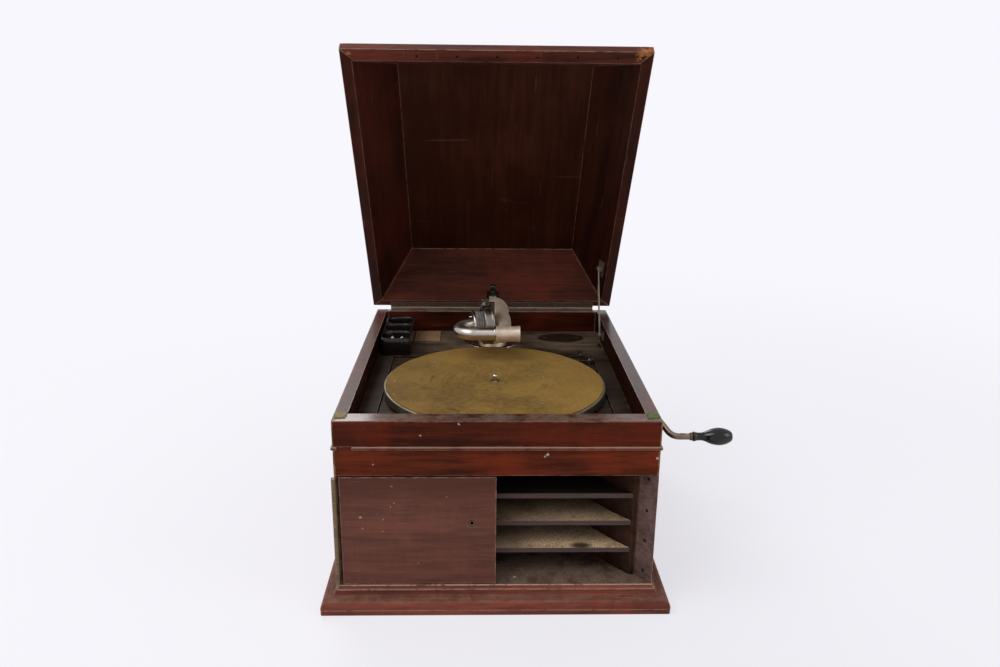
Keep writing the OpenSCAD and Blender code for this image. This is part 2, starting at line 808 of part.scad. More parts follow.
module lid_shell() {
  translate([0, 0, lid_z]) difference() {
    intersection() {
      translate([0, lid_mid_y, 0]) along_x(-lid_hw, lid_hw) lid_outer(lid_len / 2);
      along_y(lid_back_y - lid_len, lid_back_y) lid_outer(lid_hw);
    }
    intersection() {
      along_x(-lid_hw, lid_hw) lid_inner(lid_back_y - lid_len + lid_rim_front, lid_back_y - lid_rim_back);
      along_y(lid_back_y - lid_len - 1, lid_back_y + 1)
        lid_inner(-lid_hw + lid_rim_side, lid_hw - lid_rim_side);
    }
    block([-panel_hw, panel_y0, lid_in_h], [panel_hw, panel_y1, lid_top_h + 1]);
  }
}

mitre_run = 150;

// Plan of the part of the lid's frame that belongs to one rail
module front_region() {
  y = lid_back_y - lid_len;
  polygon([[-lid_hw, y], [lid_hw, y], [lid_hw - mitre_run, y + mitre_run], [-lid_hw + mitre_run, y + mitre_run]]);
}

module rear_region() {
  y = lid_back_y;
  polygon([[-lid_hw, y], [lid_hw, y], [lid_hw - mitre_run, y - mitre_run], [-lid_hw + mitre_run, y - mitre_run]]);
}

nail_x = [-102, -51, 0, 51, 102.5, 153.4];
nail_in = 9.5;

module lid_front_rail() {
  color(mahogany) opened() difference() {
    intersection() {
      lid_shell();
      linear_extrude(2 * rim_z) front_region();
    }
    for (x = nail_x) translate([x, lid_back_y - lid_len + nail_in, lid_z - 1]) cylinder(h = 9, r = 1.2);
  }
}

module lid_rear_rail() {
  color(mahogany) opened() difference() {
    intersection() {
      lid_shell();
      linear_extrude(2 * rim_z) rear_region();
    }
    at_lid_screws(1) screw_hole(hinge_screw_l);
  }
}

module lid_side_rails() {
  color(mahogany) opened() difference() {
    lid_shell();
    linear_extrude(2 * rim_z) front_region();
    linear_extrude(2 * rim_z) rear_region();
    at_stay_bracket_screws() screw_hole(hinge_screw_l);
  }
}

module lid_panel() {
  color(dark_wood) opened()
    block([-panel_hw, panel_y0, lid_z + lid_in_h], [panel_hw, panel_y1, lid_z + lid_in_h + lid_panel_t]);
}

module lid_hinge_lid_leaf() {
  color(nickel) opened() lid_leaf(1);
}

// Lid stay

stay_top = [hinge_y - stay_up_in, lid_z + stay_up_h];
splay_angle = atan2(lid_splay, lid_in_h);
bracket_t = 1.4;

// Places children on the lid's right inner slope beside the stay's pivot, pointing inwards
module on_right_slope(y, up) {
  translate([lid_hw - lid_rim_side, y, lid_z]) rotate([0, -splay_angle, 0]) translate([0, 0, up])
    rotate([0, -90, 0]) children();
}

module at_stay_bracket_screws() {
  for (y = [-1, 1]) on_right_slope(stay_top[0] + y * 11, 13) translate([0, 0, bracket_t]) children();
}

module stay_upper_bracket() {
  lug_x = stay_x + stay_t / 2 + pass_gap;
  plate = [12, 32, bracket_t];
  behind = 2 * plate[1];
  color(steel) opened() difference() {
    union() {
      on_right_slope(stay_top[0], 13) translate([-plate[0] / 2, -plate[1] / 2, 0]) cube(plate);
      block([lug_x, stay_top[0] - 4, stay_top[1] - 4], [stay_x + 6, stay_top[0] + 4, stay_top[1] + 4]);
      translate([0, stay_top[0], stay_top[1]]) rod_x(stay_x - 2, stay_x + 4, stay_pin_r);
      translate([0, stay_top[0], stay_top[1]]) rod_x(stay_x - 2.4, stay_x - stay_t / 2 - pass_gap, 3);
    }
    on_right_slope(stay_top[0], 0) translate([-behind / 2, -behind / 2, -plate[1]])
      cube([behind, behind, plate[1]]);
    at_stay_bracket_screws() screw_hole(hinge_screw_l);
  }
}

stay_pin_r = 1.8;
stud_r = 1.6;
stud_l = 6;
stay_play = 1.1;

module stay_lower_bracket() {
  color(steel) difference() {
    union() {
      block([in_x - stay_plate_t, stud_y - 14, stud_z - 6], [in_x, stud_y + 14, stud_z + 6]);
      translate([0, stud_y, stud_z]) rod_x(stay_x - 2, in_x + stud_l, stud_r);
      translate([0, stud_y, stud_z]) rod_x(stay_x - 2.4, stay_x - stay_t / 2 - pass_gap, 4);
    }
    at_stay_screws() screw_hole(hinge_screw_l);
  }
}

// Stay's upper pivot with the lid open, and the stay's direction there
open_rel = [stay_top[0] - hinge_y, stay_top[1] - hinge_z];
stay_pivot = [hinge_y + open_rel[0] * cos(lid_open) + open_rel[1] * sin(lid_open),
  hinge_z - open_rel[0] * sin(lid_open) + open_rel[1] * cos(lid_open)];
stay_angle = atan2(stud_y - stay_pivot[0], stay_pivot[1] - stud_z);

module stay_bar() {
  end_r = stay_w / 2;
  slot_r = stud_r + stay_play;
  color(steel) translate([stay_x - stay_t / 2, stay_pivot[0], stay_pivot[1]]) rotate([stay_angle, 0, 0])
    rotate([90, 0, 90]) linear_extrude(stay_t) difference() {
      union() {
        circle(end_r);
        translate([-end_r, -stay_len + end_r]) square([stay_w, stay_len - end_r]);
        translate([0, -stay_len + end_r]) circle(end_r);
      }
      circle(stay_pin_r + run_gap);
      translate([0, -28]) circle(slot_r);
      translate([0, -stay_len + end_r]) circle(slot_r);
      translate([-slot_r, -stay_len + end_r]) square([2 * slot_r, stay_len - end_r - 28]);
    }
}

module lid_screws() {
  color(aged_brass) opened() {
    at_lid_screws(1) wood_screw(hinge_screw_l);
    at_stay_bracket_screws() wood_screw(hinge_screw_l);
  }
}

// Turntable

module turntable() {
  hub_r = 12;
  hub_z = board_z + 2.5;
  round_r = 2.5;
  color(nickel) translate([0, spindle_y, 0]) difference() {
    rotate_extrude($fn = 120) difference() {
      union() {
        translate([0, table_z - table_t]) square([table_r - round_r, table_t]);
        translate([table_r - round_r, table_z - round_r]) circle(round_r, $fn = 32);
        translate([table_r - table_t, table_z - table_side]) square([table_t, table_side - round_r]);
        translate([0, hub_z]) square([hub_r, table_z - hub_z - 0.1]);
      }
      translate([table_r - 3 * round_r, table_z - 3 * round_r]) square([3 * round_r - table_t, 3 * round_r - table_t]);
    }
    cylinder(h = rim_z, r = shaft_r + run_gap);
  }
}

module turntable_felt() {
  color([0.42, 0.38, 0.22]) translate([0, spindle_y, table_z]) difference() {
    cylinder(h = felt_t, r = table_r - 2.9, $fn = 120);
    translate([0, 0, -1]) cylinder(h = felt_t + 2, r = shaft_r + 0.5);
  }
}

mesh_angle = atan2(spindle_y - barrel_y, -barrel_x);
pinion_z0 = 157;
pinion_z1 = 165;
great_z0 = 158;
great_z1 = 163;
worm_wheel_z = 150;
worm_wheel_r = 16;
shaft_bottom_z = 110;

module spindle() {
  add_r = 1.3;
  ded_r = 1.9;
  pitch_r = module_mm * pinion_teeth / 2;
  shoulder_z = table_z + felt_t - 0.4;
  pin_z0 = table_z + felt_t + 0.5;
  color(steel) translate([0, spindle_y, 0]) {
    translate([0, 0, shaft_bottom_z]) cylinder(h = shoulder_z - shaft_bottom_z, r = shaft_r);
    translate([0, 0, shoulder_z - 1]) cylinder(h = pin_z0 - shoulder_z + 1.1, r = spindle_r - 0.2);
    translate([0, 0, pin_z0]) cylinder(h = spindle_top_z - spindle_r - pin_z0, r = spindle_r);
    translate([0, 0, spindle_top_z - spindle_r]) sphere(spindle_r);
    translate([0, 0, pinion_z0]) rotate([0, 0, mesh_angle + 180 + 180 / pinion_teeth])
      linear_extrude(pinion_z1 - pinion_z0)
        gear_outline(pinion_teeth, pitch_r + add_r, pitch_r - ded_r, 0.9, 2.4);
    translate([0, 0, worm_wheel_z - 4]) linear_extrude(8)
      gear_outline(worm_wheel_teeth, worm_wheel_r, worm_wheel_r - 1, 0.5, 1);
  }
}

// Spring motor

arbor_r = 5;
barrel_z0 = 116;

module spring_barrel() {
  add_r = 1.3;
  ded_r = 1.9;
  pitch_r = module_mm * great_teeth / 2;
  wall = 2;
  color(steel) translate([barrel_x, barrel_y, 0]) difference() {
    union() {
      translate([0, 0, barrel_z0]) cylinder(h = great_z0 - barrel_z0, r = spring_r, $fn = 96);
      translate([0, 0, great_z0]) rotate([0, 0, mesh_angle]) linear_extrude(great_z1 - great_z0)
        gear_outline(great_teeth, pitch_r + add_r, pitch_r - ded_r, 0.9, 2.6);
    }
    translate([0, 0, barrel_z0 + wall]) cylinder(h = great_z0 - barrel_z0 - wall, r = spring_r - wall, $fn = 96);
    cylinder(h = rim_z, r = arbor_r + run_gap);
  }
}

module mainspring() {
  turns = 6;
  steps = 24;
  r0 = 15;
  pitch = 4.6;
  strip = 1;
  n = turns * steps;
  outer = [for (i = [0 : n]) let (a = 360 * i / steps, r = r0 + pitch * i / steps + strip) r * [cos(a), sin(a)]];
  inner = [for (i = [n : -1 : 0]) let (a = 360 * i / steps, r = r0 + pitch * i / steps) r * [cos(a), sin(a)]];
  color([0.25, 0.28, 0.35]) translate([barrel_x, barrel_y, barrel_z0 + 2]) linear_extrude(36)
    polygon(concat(outer, inner));
}

crown_r = 22;
crown_z = 173.7;
crown_tooth_h = 1.5;

module barrel_arbor() {
  color(steel) translate([barrel_x, barrel_y, 0]) {
    translate([0, 0, shaft_bottom_z]) cylinder(h = bed_z + 4 - shaft_bottom_z, r = arbor_r);
    translate([0, 0, barrel_z0 + 3]) cylinder(h = 34, r = 12);
    translate([0, 0, crown_z - 6]) cylinder(h = 6 - crown_tooth_h, r = crown_r);
    difference() {
      translate([0, 0, crown_z - crown_tooth_h - 0.1]) cylinder(h = crown_tooth_h + 0.1, r = crown_r);
      translate([0, 0, crown_z - crown_tooth_h]) cylinder(h = 3, r = crown_r - 6);
      for (i = [0 : crown_teeth - 1]) rotate([0, 0, (i + 0.5) * 360 / crown_teeth])
        translate([crown_r - 7, -0.7, crown_z - crown_tooth_h]) cube([8, 1.4, 3]);
    }
  }
}

governor_y = spindle_y - worm_wheel_r - 5.5 - pass_gap;
governor_shaft_r = 2;
governor_x0 = -74;
governor_x1 = 36;

module governor() {
  color(aged_brass) translate([0, governor_y, worm_wheel_z]) {
    rod_x(governor_x0, governor_x1, governor_shaft_r);
    rotate([0, 90, 0]) translate([0, 0, -9]) rotate_extrude()
      polygon(concat([[0, 0]], [for (i = [0 : 5], p = [[5.5, 0], [5.5, 1], [4.4, 1.5], [4.4, 2.5]])
        [p[0], p[1] + 3 * i]], [[5.5, 18], [0, 18]]));
    rod_x(-62, -59, 14);
    rod_x(-59, -53, 5);
    rod_x(-27, -21, 5);
    for (a = [0, 120, 240]) rotate([a, 0, 0]) {
      translate([0, 0, governor_r]) rod_x(-46, -34, 5);
      along_y(-2, 2) polygon([[-56, 3], [-55, 3], [-40, governor_r - 1], [-25, 3], [-24, 3], [-40, governor_r]]);
    }
  }
}

bolt_r = 2.5;
bolt_xy = [[-80, 60], [86, 72], [-80, -84], [86, -84]];
module at_motor_bolts() {
  for (p = bolt_xy) translate([p[0], p[1], 0]) children();
}

pillar_r = 5;
pillar_xy = [[-42, -30], [62, -48], [-42, 62], [84, 62]];

module motor_frame() {
  post_y = [governor_y - 5, governor_y + 5];
  edge = 8;
  bore_l = rim_z - shaft_bottom_z;
  color(iron) difference() {
    union() {
      block([bolt_xy[0][0] - edge, bolt_xy[2][1] - edge, bed_z], [bolt_xy[1][0] + edge, bolt_xy[1][1] + edge,
        board_z - deck_t]);
      block([pillar_xy[0][0] - edge, pillar_xy[1][1] - edge, bottom_z - 5], [pillar_xy[3][0] + edge,
        pillar_xy[3][1] + edge, bottom_z]);
      for (p = pillar_xy) translate([p[0], p[1], bottom_z - 1]) cylinder(h = bed_z - bottom_z + 2, r = pillar_r);
      for (x = [-73, 31]) block([x, post_y[0], worm_wheel_z - 7], [x + 6, post_y[1], bed_z + 1]);
      block([60, crank_y - 10, crank_z - 9], [66, crank_y + 10, bed_z + 1]);
    }
    translate([0, spindle_y, shaft_bottom_z]) cylinder(h = bore_l, r = shaft_r + run_gap);
    translate([barrel_x, barrel_y, shaft_bottom_z]) cylinder(h = bore_l, r = arbor_r + run_gap);
    translate([0, governor_y, worm_wheel_z]) rod_x(governor_x0 - 2, governor_x1 + 3, governor_shaft_r + run_gap);
    translate([0, crank_y, crank_z]) rod_x(50, 80, crank_r + run_gap);
    at_motor_bolts() cylinder(h = rim_z, r = bolt_r);
  }
}

module motor_bolts() {
  color(steel) at_motor_bolts() {
    translate([0, 0, bed_z - 3]) cylinder(h = board_z - bed_z + 3, r = bolt_r);
    translate([0, 0, board_z]) cylinder(h = 2, r = 5);
    translate([0, 0, bed_z - 3]) cylinder(h = 3, r = 5, $fn = 6);
  }
}

// Crank

escutcheon_t = 2;
ferrule_r = 5.6;
ferrule_l = 4;
washer_r = 4.9;

module crank_escutcheon() {
  color(nickel) difference() {
    translate([0, crank_y, crank_z]) rod_x(hw, hw + escutcheon_t, 15);
    translate([0, crank_y, crank_z]) rod_x(hw - 1, hw + escutcheon_t + 1, crank_r + run_gap);
    at_escutcheon_screws() screw_hole(hinge_screw_l);
  }
}

module crank_rod() {
  elbow_a = [bend_x0, crank_y, crank_z];
  elbow_b = [bend_x1, grip_y, grip_z];
  pinion_x = barrel_x + crown_r - 7;
  color(steel) {
    translate([0, crank_y, crank_z]) rod_x(pinion_x, bend_x0, crank_r);
    translate([pinion_x, crank_y, crank_z]) rotate([0, 90, 0]) linear_extrude(7)
      gear_outline(crank_teeth, 8, 6.4, 1, 1.8);
    translate(elbow_a) sphere(crank_r + knuckle);
    bar(elbow_a, elbow_b, crank_r, crank_r);
    translate(elbow_b) sphere(crank_r + knuckle);
    translate([0, grip_y, grip_z]) {
      rod_x(bend_x1, grip_x0 - pass_gap, crank_r);
      rod_x(grip_x0 - ferrule_l, grip_x0 - pass_gap, ferrule_r);
      rod_x(grip_x0 - pass_gap - 0.1, grip_x0 + grip_l - 3.7, grip_pin_r);
      rod_x(grip_x0 + grip_l - 3.7, grip_x0 + grip_l - 2, washer_r);
    }
  }
}

// Profile of the grip: share of its radius, share of its length
grip_profile = [[0.52, 0], [0.565, 0.027], [0.485, 0.08], [0.445, 0.16], [0.445, 0.23], [0.555, 0.32],
  [0.755, 0.41], [0.905, 0.51], [0.985, 0.615], [1, 0.68], [0.96, 0.77], [0.857, 0.855], [0.715, 0.93],
  [0.62, 0.975], [0.52, 1]];

module crank_grip() {
  color(black) translate([grip_x0, grip_y, grip_z]) rotate([0, 90, 0]) difference() {
    rotate_extrude() polygon(concat([[0, 0]], [for (p = grip_profile) [p[0] * grip_r, p[1] * grip_l]], [[0, grip_l]]));
    translate([0, 0, -1]) cylinder(h = grip_l, r = grip_pin_r + run_gap);
    translate([0, 0, grip_l - 4]) cylinder(h = 5, r = washer_r + pass_gap);
  }
}

// Brake

brake_t = 2;
brake_z = 217;
pad_a = 42.1;
pad_gap = 0.4;

// A point on the deck at an angle round the spindle, outside the turntable's rim
function beside_table(angle, out) = [(table_r + out) * cos(angle), spindle_y + (table_r + out) * sin(angle)];

brake_pivot = beside_table(37.7, 30.8);
brake_knob = beside_table(45.6, 37.8);

// One arm of the brake lever, from its pivot to a point
module brake_arm(to, w) {
  d = to - brake_pivot;
  translate(brake_pivot) rotate(atan2(d[1], d[0])) translate([0, -w / 2]) square([norm(d) - 2, w]);
}

module brake_lever() {
  color(steel) {
    translate([0, 0, brake_z]) linear_extrude(brake_t) {
      translate(brake_pivot) circle(6);
      brake_arm(beside_table(pad_a, 2), 7);
      brake_arm(brake_knob, 6);
    }
    translate([brake_pivot[0], brake_pivot[1], board_z - 8]) cylinder(h = brake_z - board_z + 8 + brake_t + 2,
      r = 2 - run_gap);
    translate([brake_pivot[0], brake_pivot[1], board_z + pass_gap])
      cylinder(h = brake_z - board_z - pass_gap + 0.1, r = 4);
    translate([brake_knob[0], brake_knob[1], brake_z]) cylinder(h = 8, r = 3);
    translate([0, spindle_y, 0]) rotate([0, 0, pad_a]) translate([table_r + pad_gap, -6, brake_z - 1.5])
      cube([5, 12, 5]);
  }
}

// Small pieces on the deck

plate_t = 1.5;
plate_half = 20.5;
tray_w = 47;
tray_l = 121.5;
tray_x0 = -in_x + 2.5;
tray_y1 = in_back_y - 8.5;
plate_c = [tray_x0 + tray_w + plate_half + 0.5, in_back_y - 29.5];
oval_c = [in_x - 64, in_back_y - 39.5];

module needle_cup_tray() {
  x0 = tray_x0;
  x1 = x0 + tray_w;
  y0 = tray_y1 - tray_l;
  y1 = tray_y1;
  tray_h = 28;
  corner = 8;
  wells = 3;
  wall = 3.5;
  pitch = (y1 - y0 - wall) / wells;
  color(black) translate([0, 0, deck_z]) difference() {
    union() {
      block([x0, y0, 0], [x1 - corner, y1, tray_h]);
      block([x0, y0 + corner, 0], [x1, y1 - corner, tray_h]);
      for (y = [y0 + corner, y1 - corner]) translate([x1 - corner, y, 0]) cylinder(h = tray_h, r = corner);
    }
    for (i = [0 : wells - 1]) block([x0 + wall, y0 + wall + i * pitch, 4],
      [x1 - wall, y0 + (i + 1) * pitch, tray_h + 1]);
  }
}

module spare_needles() {
  needle_r = 0.8;
  l = 16;
  color(steel) for (i = [0 : 6]) translate([tray_x0 + 8 + 4.5 * i, tray_y1 - tray_l + 7.5 + (i % 3) * 3, deck_z + 4 + needle_r])
    rotate([-90, 0, 0]) {
      cylinder(h = l, r = needle_r);
      translate([0, 0, l]) cylinder(h = 4, r1 = needle_r, r2 = 0.1);
    }
}

module rear_plate() {
  color(aged_brass) difference() {
    block([plate_c[0] - plate_half, plate_c[1] - 25, deck_z],
      [plate_c[0] + plate_half, plate_c[1] + 25, deck_z + plate_t]);
    at_deck_screws() screw_hole(hinge_screw_l);
  }
}

module oval_plate() {
  a = 37.2;
  b = 21.5;
  n = 48;
  color(black) difference() {
    translate([oval_c[0], oval_c[1], deck_z]) linear_extrude(plate_t)
      polygon([for (i = [0 : n - 1]) [a * cos(i * 360 / n), b * sin(i * 360 / n)]]);
    at_deck_screws() screw_hole(hinge_screw_l);
  }
}

// Tone arm

socket_r = elbow_r - 2;

module arm_flange() {
  color(nickel) translate([0, arm_y, deck_z]) difference() {
    union() {
      cylinder(h = flange_t - 1, r = flange_r);
      cylinder(h = flange_t, r = flange_r - 2);
    }
    translate([0, 0, -1]) cylinder(h = flange_t + 2, r = socket_r + run_gap);
    translate([0, -arm_y, -deck_z]) at_deck_screws() screw_hole(hinge_screw_l);
  }
}

bracket_z = 289.5;
bracket_t2 = 3.2;
pivot_r = 2.5;

module arm_bracket() {
  half = 9.5;
  y0 = arm_y + elbow_r + 4;
  foot_l = 14;
  foot_z = deck_z + flange_t;
  top_z = bracket_z + bracket_t2;
  slope = 14;
  color(nickel) difference() {
    union() {
      along_x(-half, half) polygon([[y0 + foot_l, foot_z], [y0 + foot_l, foot_z + 3], [y0 + bracket_t2, foot_z + 3],
        [y0 + bracket_t2, top_z - slope], [y0 + bracket_t2 - slope, top_z], [arm_y, top_z], [arm_y, bracket_z],
        [y0 - slope + 2, bracket_z], [y0, top_z - slope - 1], [y0, foot_z]]);
      translate([0, arm_y, bracket_z]) cylinder(h = bracket_t2, r = half);
    }
    translate([0, arm_y, bracket_z - 1]) cylinder(h = bracket_t2 + 2, r = pivot_r);
  }
}

module arm_pivot_screw() {
  z = bracket_z + bracket_t2;
  color(steel) translate([0, arm_y, 0]) {
    translate([0, 0, bracket_z - 9]) cylinder(h = 9.1 + bracket_t2, r = pivot_r);
    translate([0, 0, z]) cylinder(h = 4, r = 4.2, $fn = 6);
    translate([0, 0, z + 4]) cylinder(h = 9, r = 5.2);
    translate([0, 0, z + 13]) cylinder(h = 1, r = 4.4);
  }
}

// The arm's tube, thinner by the wall for its inside
module arm_tube(less, extra) {
  a = [2, arm_y - elbow_bend, arm_z];
  b = [12, 115, arm_z];
  c = [14.5, sleeve_y, arm_z];
  translate([0, arm_y, deck_z + 0.5 - extra]) cylinder(h = 3.6 + extra, r = socket_r - less);
  translate([0, arm_y, deck_z + 3.9]) cylinder(h = arm_z - elbow_bend - deck_z - 3.9, r = elbow_r - less);
  translate([0, arm_y - elbow_bend, arm_z - elbow_bend]) rotate([90, 0, 90])
    rotate_extrude(angle = 90) translate([elbow_bend, 0]) circle(elbow_r - less);
  bar(a, b, elbow_r - less, 13 - less);
  translate(a) sphere(elbow_r + knuckle - less);
  translate(b) sphere(13 + knuckle - less);
  bar(b, c, 13 - less, arm_tip_r - 0.5 - less);
}

module tone_arm() {
  boss_z = bracket_z - pass_gap;
  color(nickel) difference() {
    union() {
      difference() {
        union() {
          arm_tube(0, 0);
          translate([0, arm_y, deck_z + flange_t + pass_gap]) cylinder(h = 3.5, r = elbow_r + 2.5);
          translate([0, sleeve_y, arm_z]) rod_x(sleeve_x0, sleeve_x1, sleeve_r);
          translate([0, sleeve_y, arm_z]) rod_x(sleeve_x1 - 2, sleeve_x1, sleeve_r + 0.6);
        }
        arm_tube(arm_wall, 1);
      }
      translate([0, arm_y, boss_z - 12]) cylinder(h = 12, r = 6);
    }
    translate([0, arm_y, bracket_z - 9.5]) cylinder(h = 20, r = pivot_r + run_gap);
    translate([0, sleeve_y, arm_z]) rod_x(sleeve_x0 - 1, sleeve_x1 - 1.5, neck_r + run_gap);
  }
}

// Gooseneck and sound box

// How far the sound box is turned from the arm's cross direction
box_yaw = 180 - neck_turn;
// The gooseneck's end, which is the middle of the sound box's back
neck_end = [neck_x - neck_bend * sin(box_yaw), sleeve_y + neck_bend * (1 + cos(box_yaw))];

module gooseneck_shape(r, over) {
  translate([0, sleeve_y, arm_z]) rod_x(neck_x, sleeve_x1 - 2 + over, r);
  translate([neck_x, sleeve_y + neck_bend, arm_z]) rotate([0, 0, 90]) rotate_extrude(angle = 180)
    translate([neck_bend, 0]) circle(r);
}

module gooseneck() {
  color(nickel) difference() {
    union() {
      gooseneck_shape(neck_r, 0);
      translate([0, sleeve_y, arm_z]) rod_x(sleeve_x0 - 2.6, sleeve_x0 - pass_gap, sleeve_r + 0.6);
    }
    gooseneck_shape(neck_r - 1.8, 1);
    translate([neck_end[0], neck_end[1], arm_z]) rotate([0, 0, box_yaw]) translate([0, -20, -20]) cube(40);
    translate([14.5, sleeve_y, arm_z]) rotate([-90, 0, 0]) cylinder(h = 20, r = arm_tip_r - arm_wall);
  }
}

// Places children on the sound box, its axis along X
module at_box() {
  translate([neck_end[0], neck_end[1], arm_z]) rotate([0, 0, box_yaw]) translate([-box_x0, 0, 0]) children();
}

module soundbox_flange() {
  hole_r = neck_r - 1.8;
  color(nickel) at_box() difference() {
    union() {
      rod_x(box_x0, box_x0 + 3, back_plate_r);
      for (a = [60, 180, 300]) rotate([a, 0, 0]) translate([0, 0, 17.5]) rod_x(box_x0 - 2, box_x0 + 1, 2);
    }
    rod_x(box_x0 - 1, box_x0 + 4, hole_r);
  }
}

ring_x0 = -18;

module soundbox_gasket() {
  color([0.4, 0.4, 0.38]) at_box() difference() {
    rod_x(box_x0 + 3, ring_x0, back_plate_r - 1.5);
    rod_x(box_x0 + 2, ring_x0 + 1, 11);
  }
}

diaphragm_x = -6;

module soundbox_ring() {
  color(nickel) at_box() difference() {
    rod_x(ring_x0, box_x1, box_r);
    rod_x(ring_x0 - 1, 0, 8);
    rod_x(ring_x0 + 3, diaphragm_x + 0.6, diaphragm_r);
    rod_x(ring_x0 + 3, 0, diaphragm_r - 1.5);
    translate([box_x1 - 1.4, -2.4, 18]) cube([3, 4.8, 20]);
  }
}

module diaphragm() {
  color([0.75, 0.68, 0.5]) at_box() rod_x(diaphragm_x, diaphragm_x + 0.6, diaphragm_r);
}

chuck_x = -10.5;
chuck_z0 = 30.8;
chuck_z1 = 41;
needle_screw_z = 38.2;

module needle_bar() {
  half = 2;
  color(steel) at_box() difference() {
    union() {
      rod_x(diaphragm_x + 0.6, 0, 1.2);
      block([box_x1 + 0.2, -half, -2], [0.8, half, chuck_z0 + 4]);
      block([chuck_x, -half, chuck_z0], [0.8, half, chuck_z0 + 4]);
      translate([chuck_x, 0, chuck_z0 - 0.5]) cylinder(h = chuck_z1 - chuck_z0 + 0.5, r = 3.6);
      block([box_x1 - 1.4, -half, 27], [box_x1 + 0.4, half, 29.5]);
    }
    translate([chuck_x, 0, chuck_z1 - 9]) cylinder(h = 10, r = needle_hole_r);
    translate([0, 0, needle_screw_z]) rod_x(chuck_x - 5, chuck_x, 1.2 + run_gap);
  }
}

module needle_screw() {
  color(steel) at_box() translate([0, 0, needle_screw_z]) {
    rod_x(chuck_x - 5, chuck_x - 1, 1.2);
    rod_x(chuck_x - 8, chuck_x - 4, 2.6);
  }
}

base_board();
plinth_moulding();
floor_board();
side_panel_left();
side_panel_right();
back_panel();
upper_front_rail();
bead_moulding();
lower_front_rail();
motor_board();
board_surround();
horn_top();
horn_sides();
horn_slats();
horn_elbow();
cabinet_screws();
rim_felt_pads();
door_hinge_cabinet_leaf();
lid_hinge_cabinet_leaf();
hinge_pins();
stay_lower_bracket();
arm_flange();
arm_bracket();
arm_pivot_screw();
needle_cup_tray();
spare_needles();
rear_plate();
oval_plate();
motor_frame();
motor_bolts();
crank_escutcheon();
door_panel();
door_hinge_door_leaf();
door_screws();
lid_front_rail();
lid_rear_rail();
lid_side_rails();
lid_panel();
lid_hinge_lid_leaf();
stay_upper_bracket();
lid_screws();
stay_bar();
turntable();
turntable_felt();
spindle();
spring_barrel();
mainspring();
barrel_arbor();
governor();
crank_rod();
crank_grip();
brake_lever();
tone_arm();
gooseneck();
soundbox_flange();
soundbox_gasket();
soundbox_ring();
diaphragm();
needle_bar();
needle_screw();
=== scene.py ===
"""Looks of a tabletop gramophone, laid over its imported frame.

Metres, in the frame's own axes: +Z up, the front faces -Y, the crank is on +X.
Sizes in the functions below are in millimetres and are scaled as the mesh is made.
"""

import json
import math
from functools import reduce

import bmesh
import bpy
import numpy as np
from bpy.props import FloatProperty, FloatVectorProperty, PointerProperty
from mathutils import Matrix, Vector

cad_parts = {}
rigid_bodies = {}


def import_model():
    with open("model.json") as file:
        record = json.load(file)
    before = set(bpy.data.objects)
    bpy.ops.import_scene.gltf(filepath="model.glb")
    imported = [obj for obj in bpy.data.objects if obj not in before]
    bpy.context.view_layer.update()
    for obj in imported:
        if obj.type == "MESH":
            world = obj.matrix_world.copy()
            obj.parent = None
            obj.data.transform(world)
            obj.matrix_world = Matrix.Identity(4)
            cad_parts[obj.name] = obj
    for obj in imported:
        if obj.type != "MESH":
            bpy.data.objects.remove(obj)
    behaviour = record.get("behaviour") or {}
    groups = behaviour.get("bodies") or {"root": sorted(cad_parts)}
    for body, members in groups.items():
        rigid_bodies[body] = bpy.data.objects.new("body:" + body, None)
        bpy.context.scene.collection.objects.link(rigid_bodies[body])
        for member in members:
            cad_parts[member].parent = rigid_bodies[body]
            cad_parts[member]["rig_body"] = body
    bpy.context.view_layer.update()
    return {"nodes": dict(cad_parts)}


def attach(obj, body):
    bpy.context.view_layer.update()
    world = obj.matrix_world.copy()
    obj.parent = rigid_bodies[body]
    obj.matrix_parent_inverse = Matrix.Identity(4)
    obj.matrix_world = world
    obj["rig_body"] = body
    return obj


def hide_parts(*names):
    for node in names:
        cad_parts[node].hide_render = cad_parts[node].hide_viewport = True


bl_info = {
    "name": "Tabletop gramophone",
    "version": (1, 0, 0),
    "blender": (4, 5, 0),
    "location": "3D View > Sidebar > Gramophone",
    "description": "Dresses the packed gramophone and sets up its studio",
    "category": "Object",
}

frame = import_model()
NODES = frame["nodes"]
MM = 0.001
LID_OPEN = math.radians(57.4)


# Settings that a user would change


def colour(name, text, default):
    """A colour setting, in linear light."""
    return FloatVectorProperty(name=name, description=text, default=default, subtype="COLOR", min=0, max=1)


def length(name, text, default):
    """A length setting, in metres."""
    return FloatProperty(name=name, description=text, default=default, unit="LENGTH", min=0, precision=4)


class GramophoneSizes(bpy.types.PropertyGroup):
    """Sizes of the rounding and of small details"""

    wood_edge: length("Wood edge", "Rounding of the worn wooden edges", 0.0009)
    metal_edge: length("Metal edge", "Rounding of the metal edges", 0.0003)
    wear_reach: length("Wear", "How far the worn edges reach into the polish", 0.0022)
    camera_lens: FloatProperty(name="Lens", description="Focal length in millimetres", default=30.639,
                               min=10, max=200)


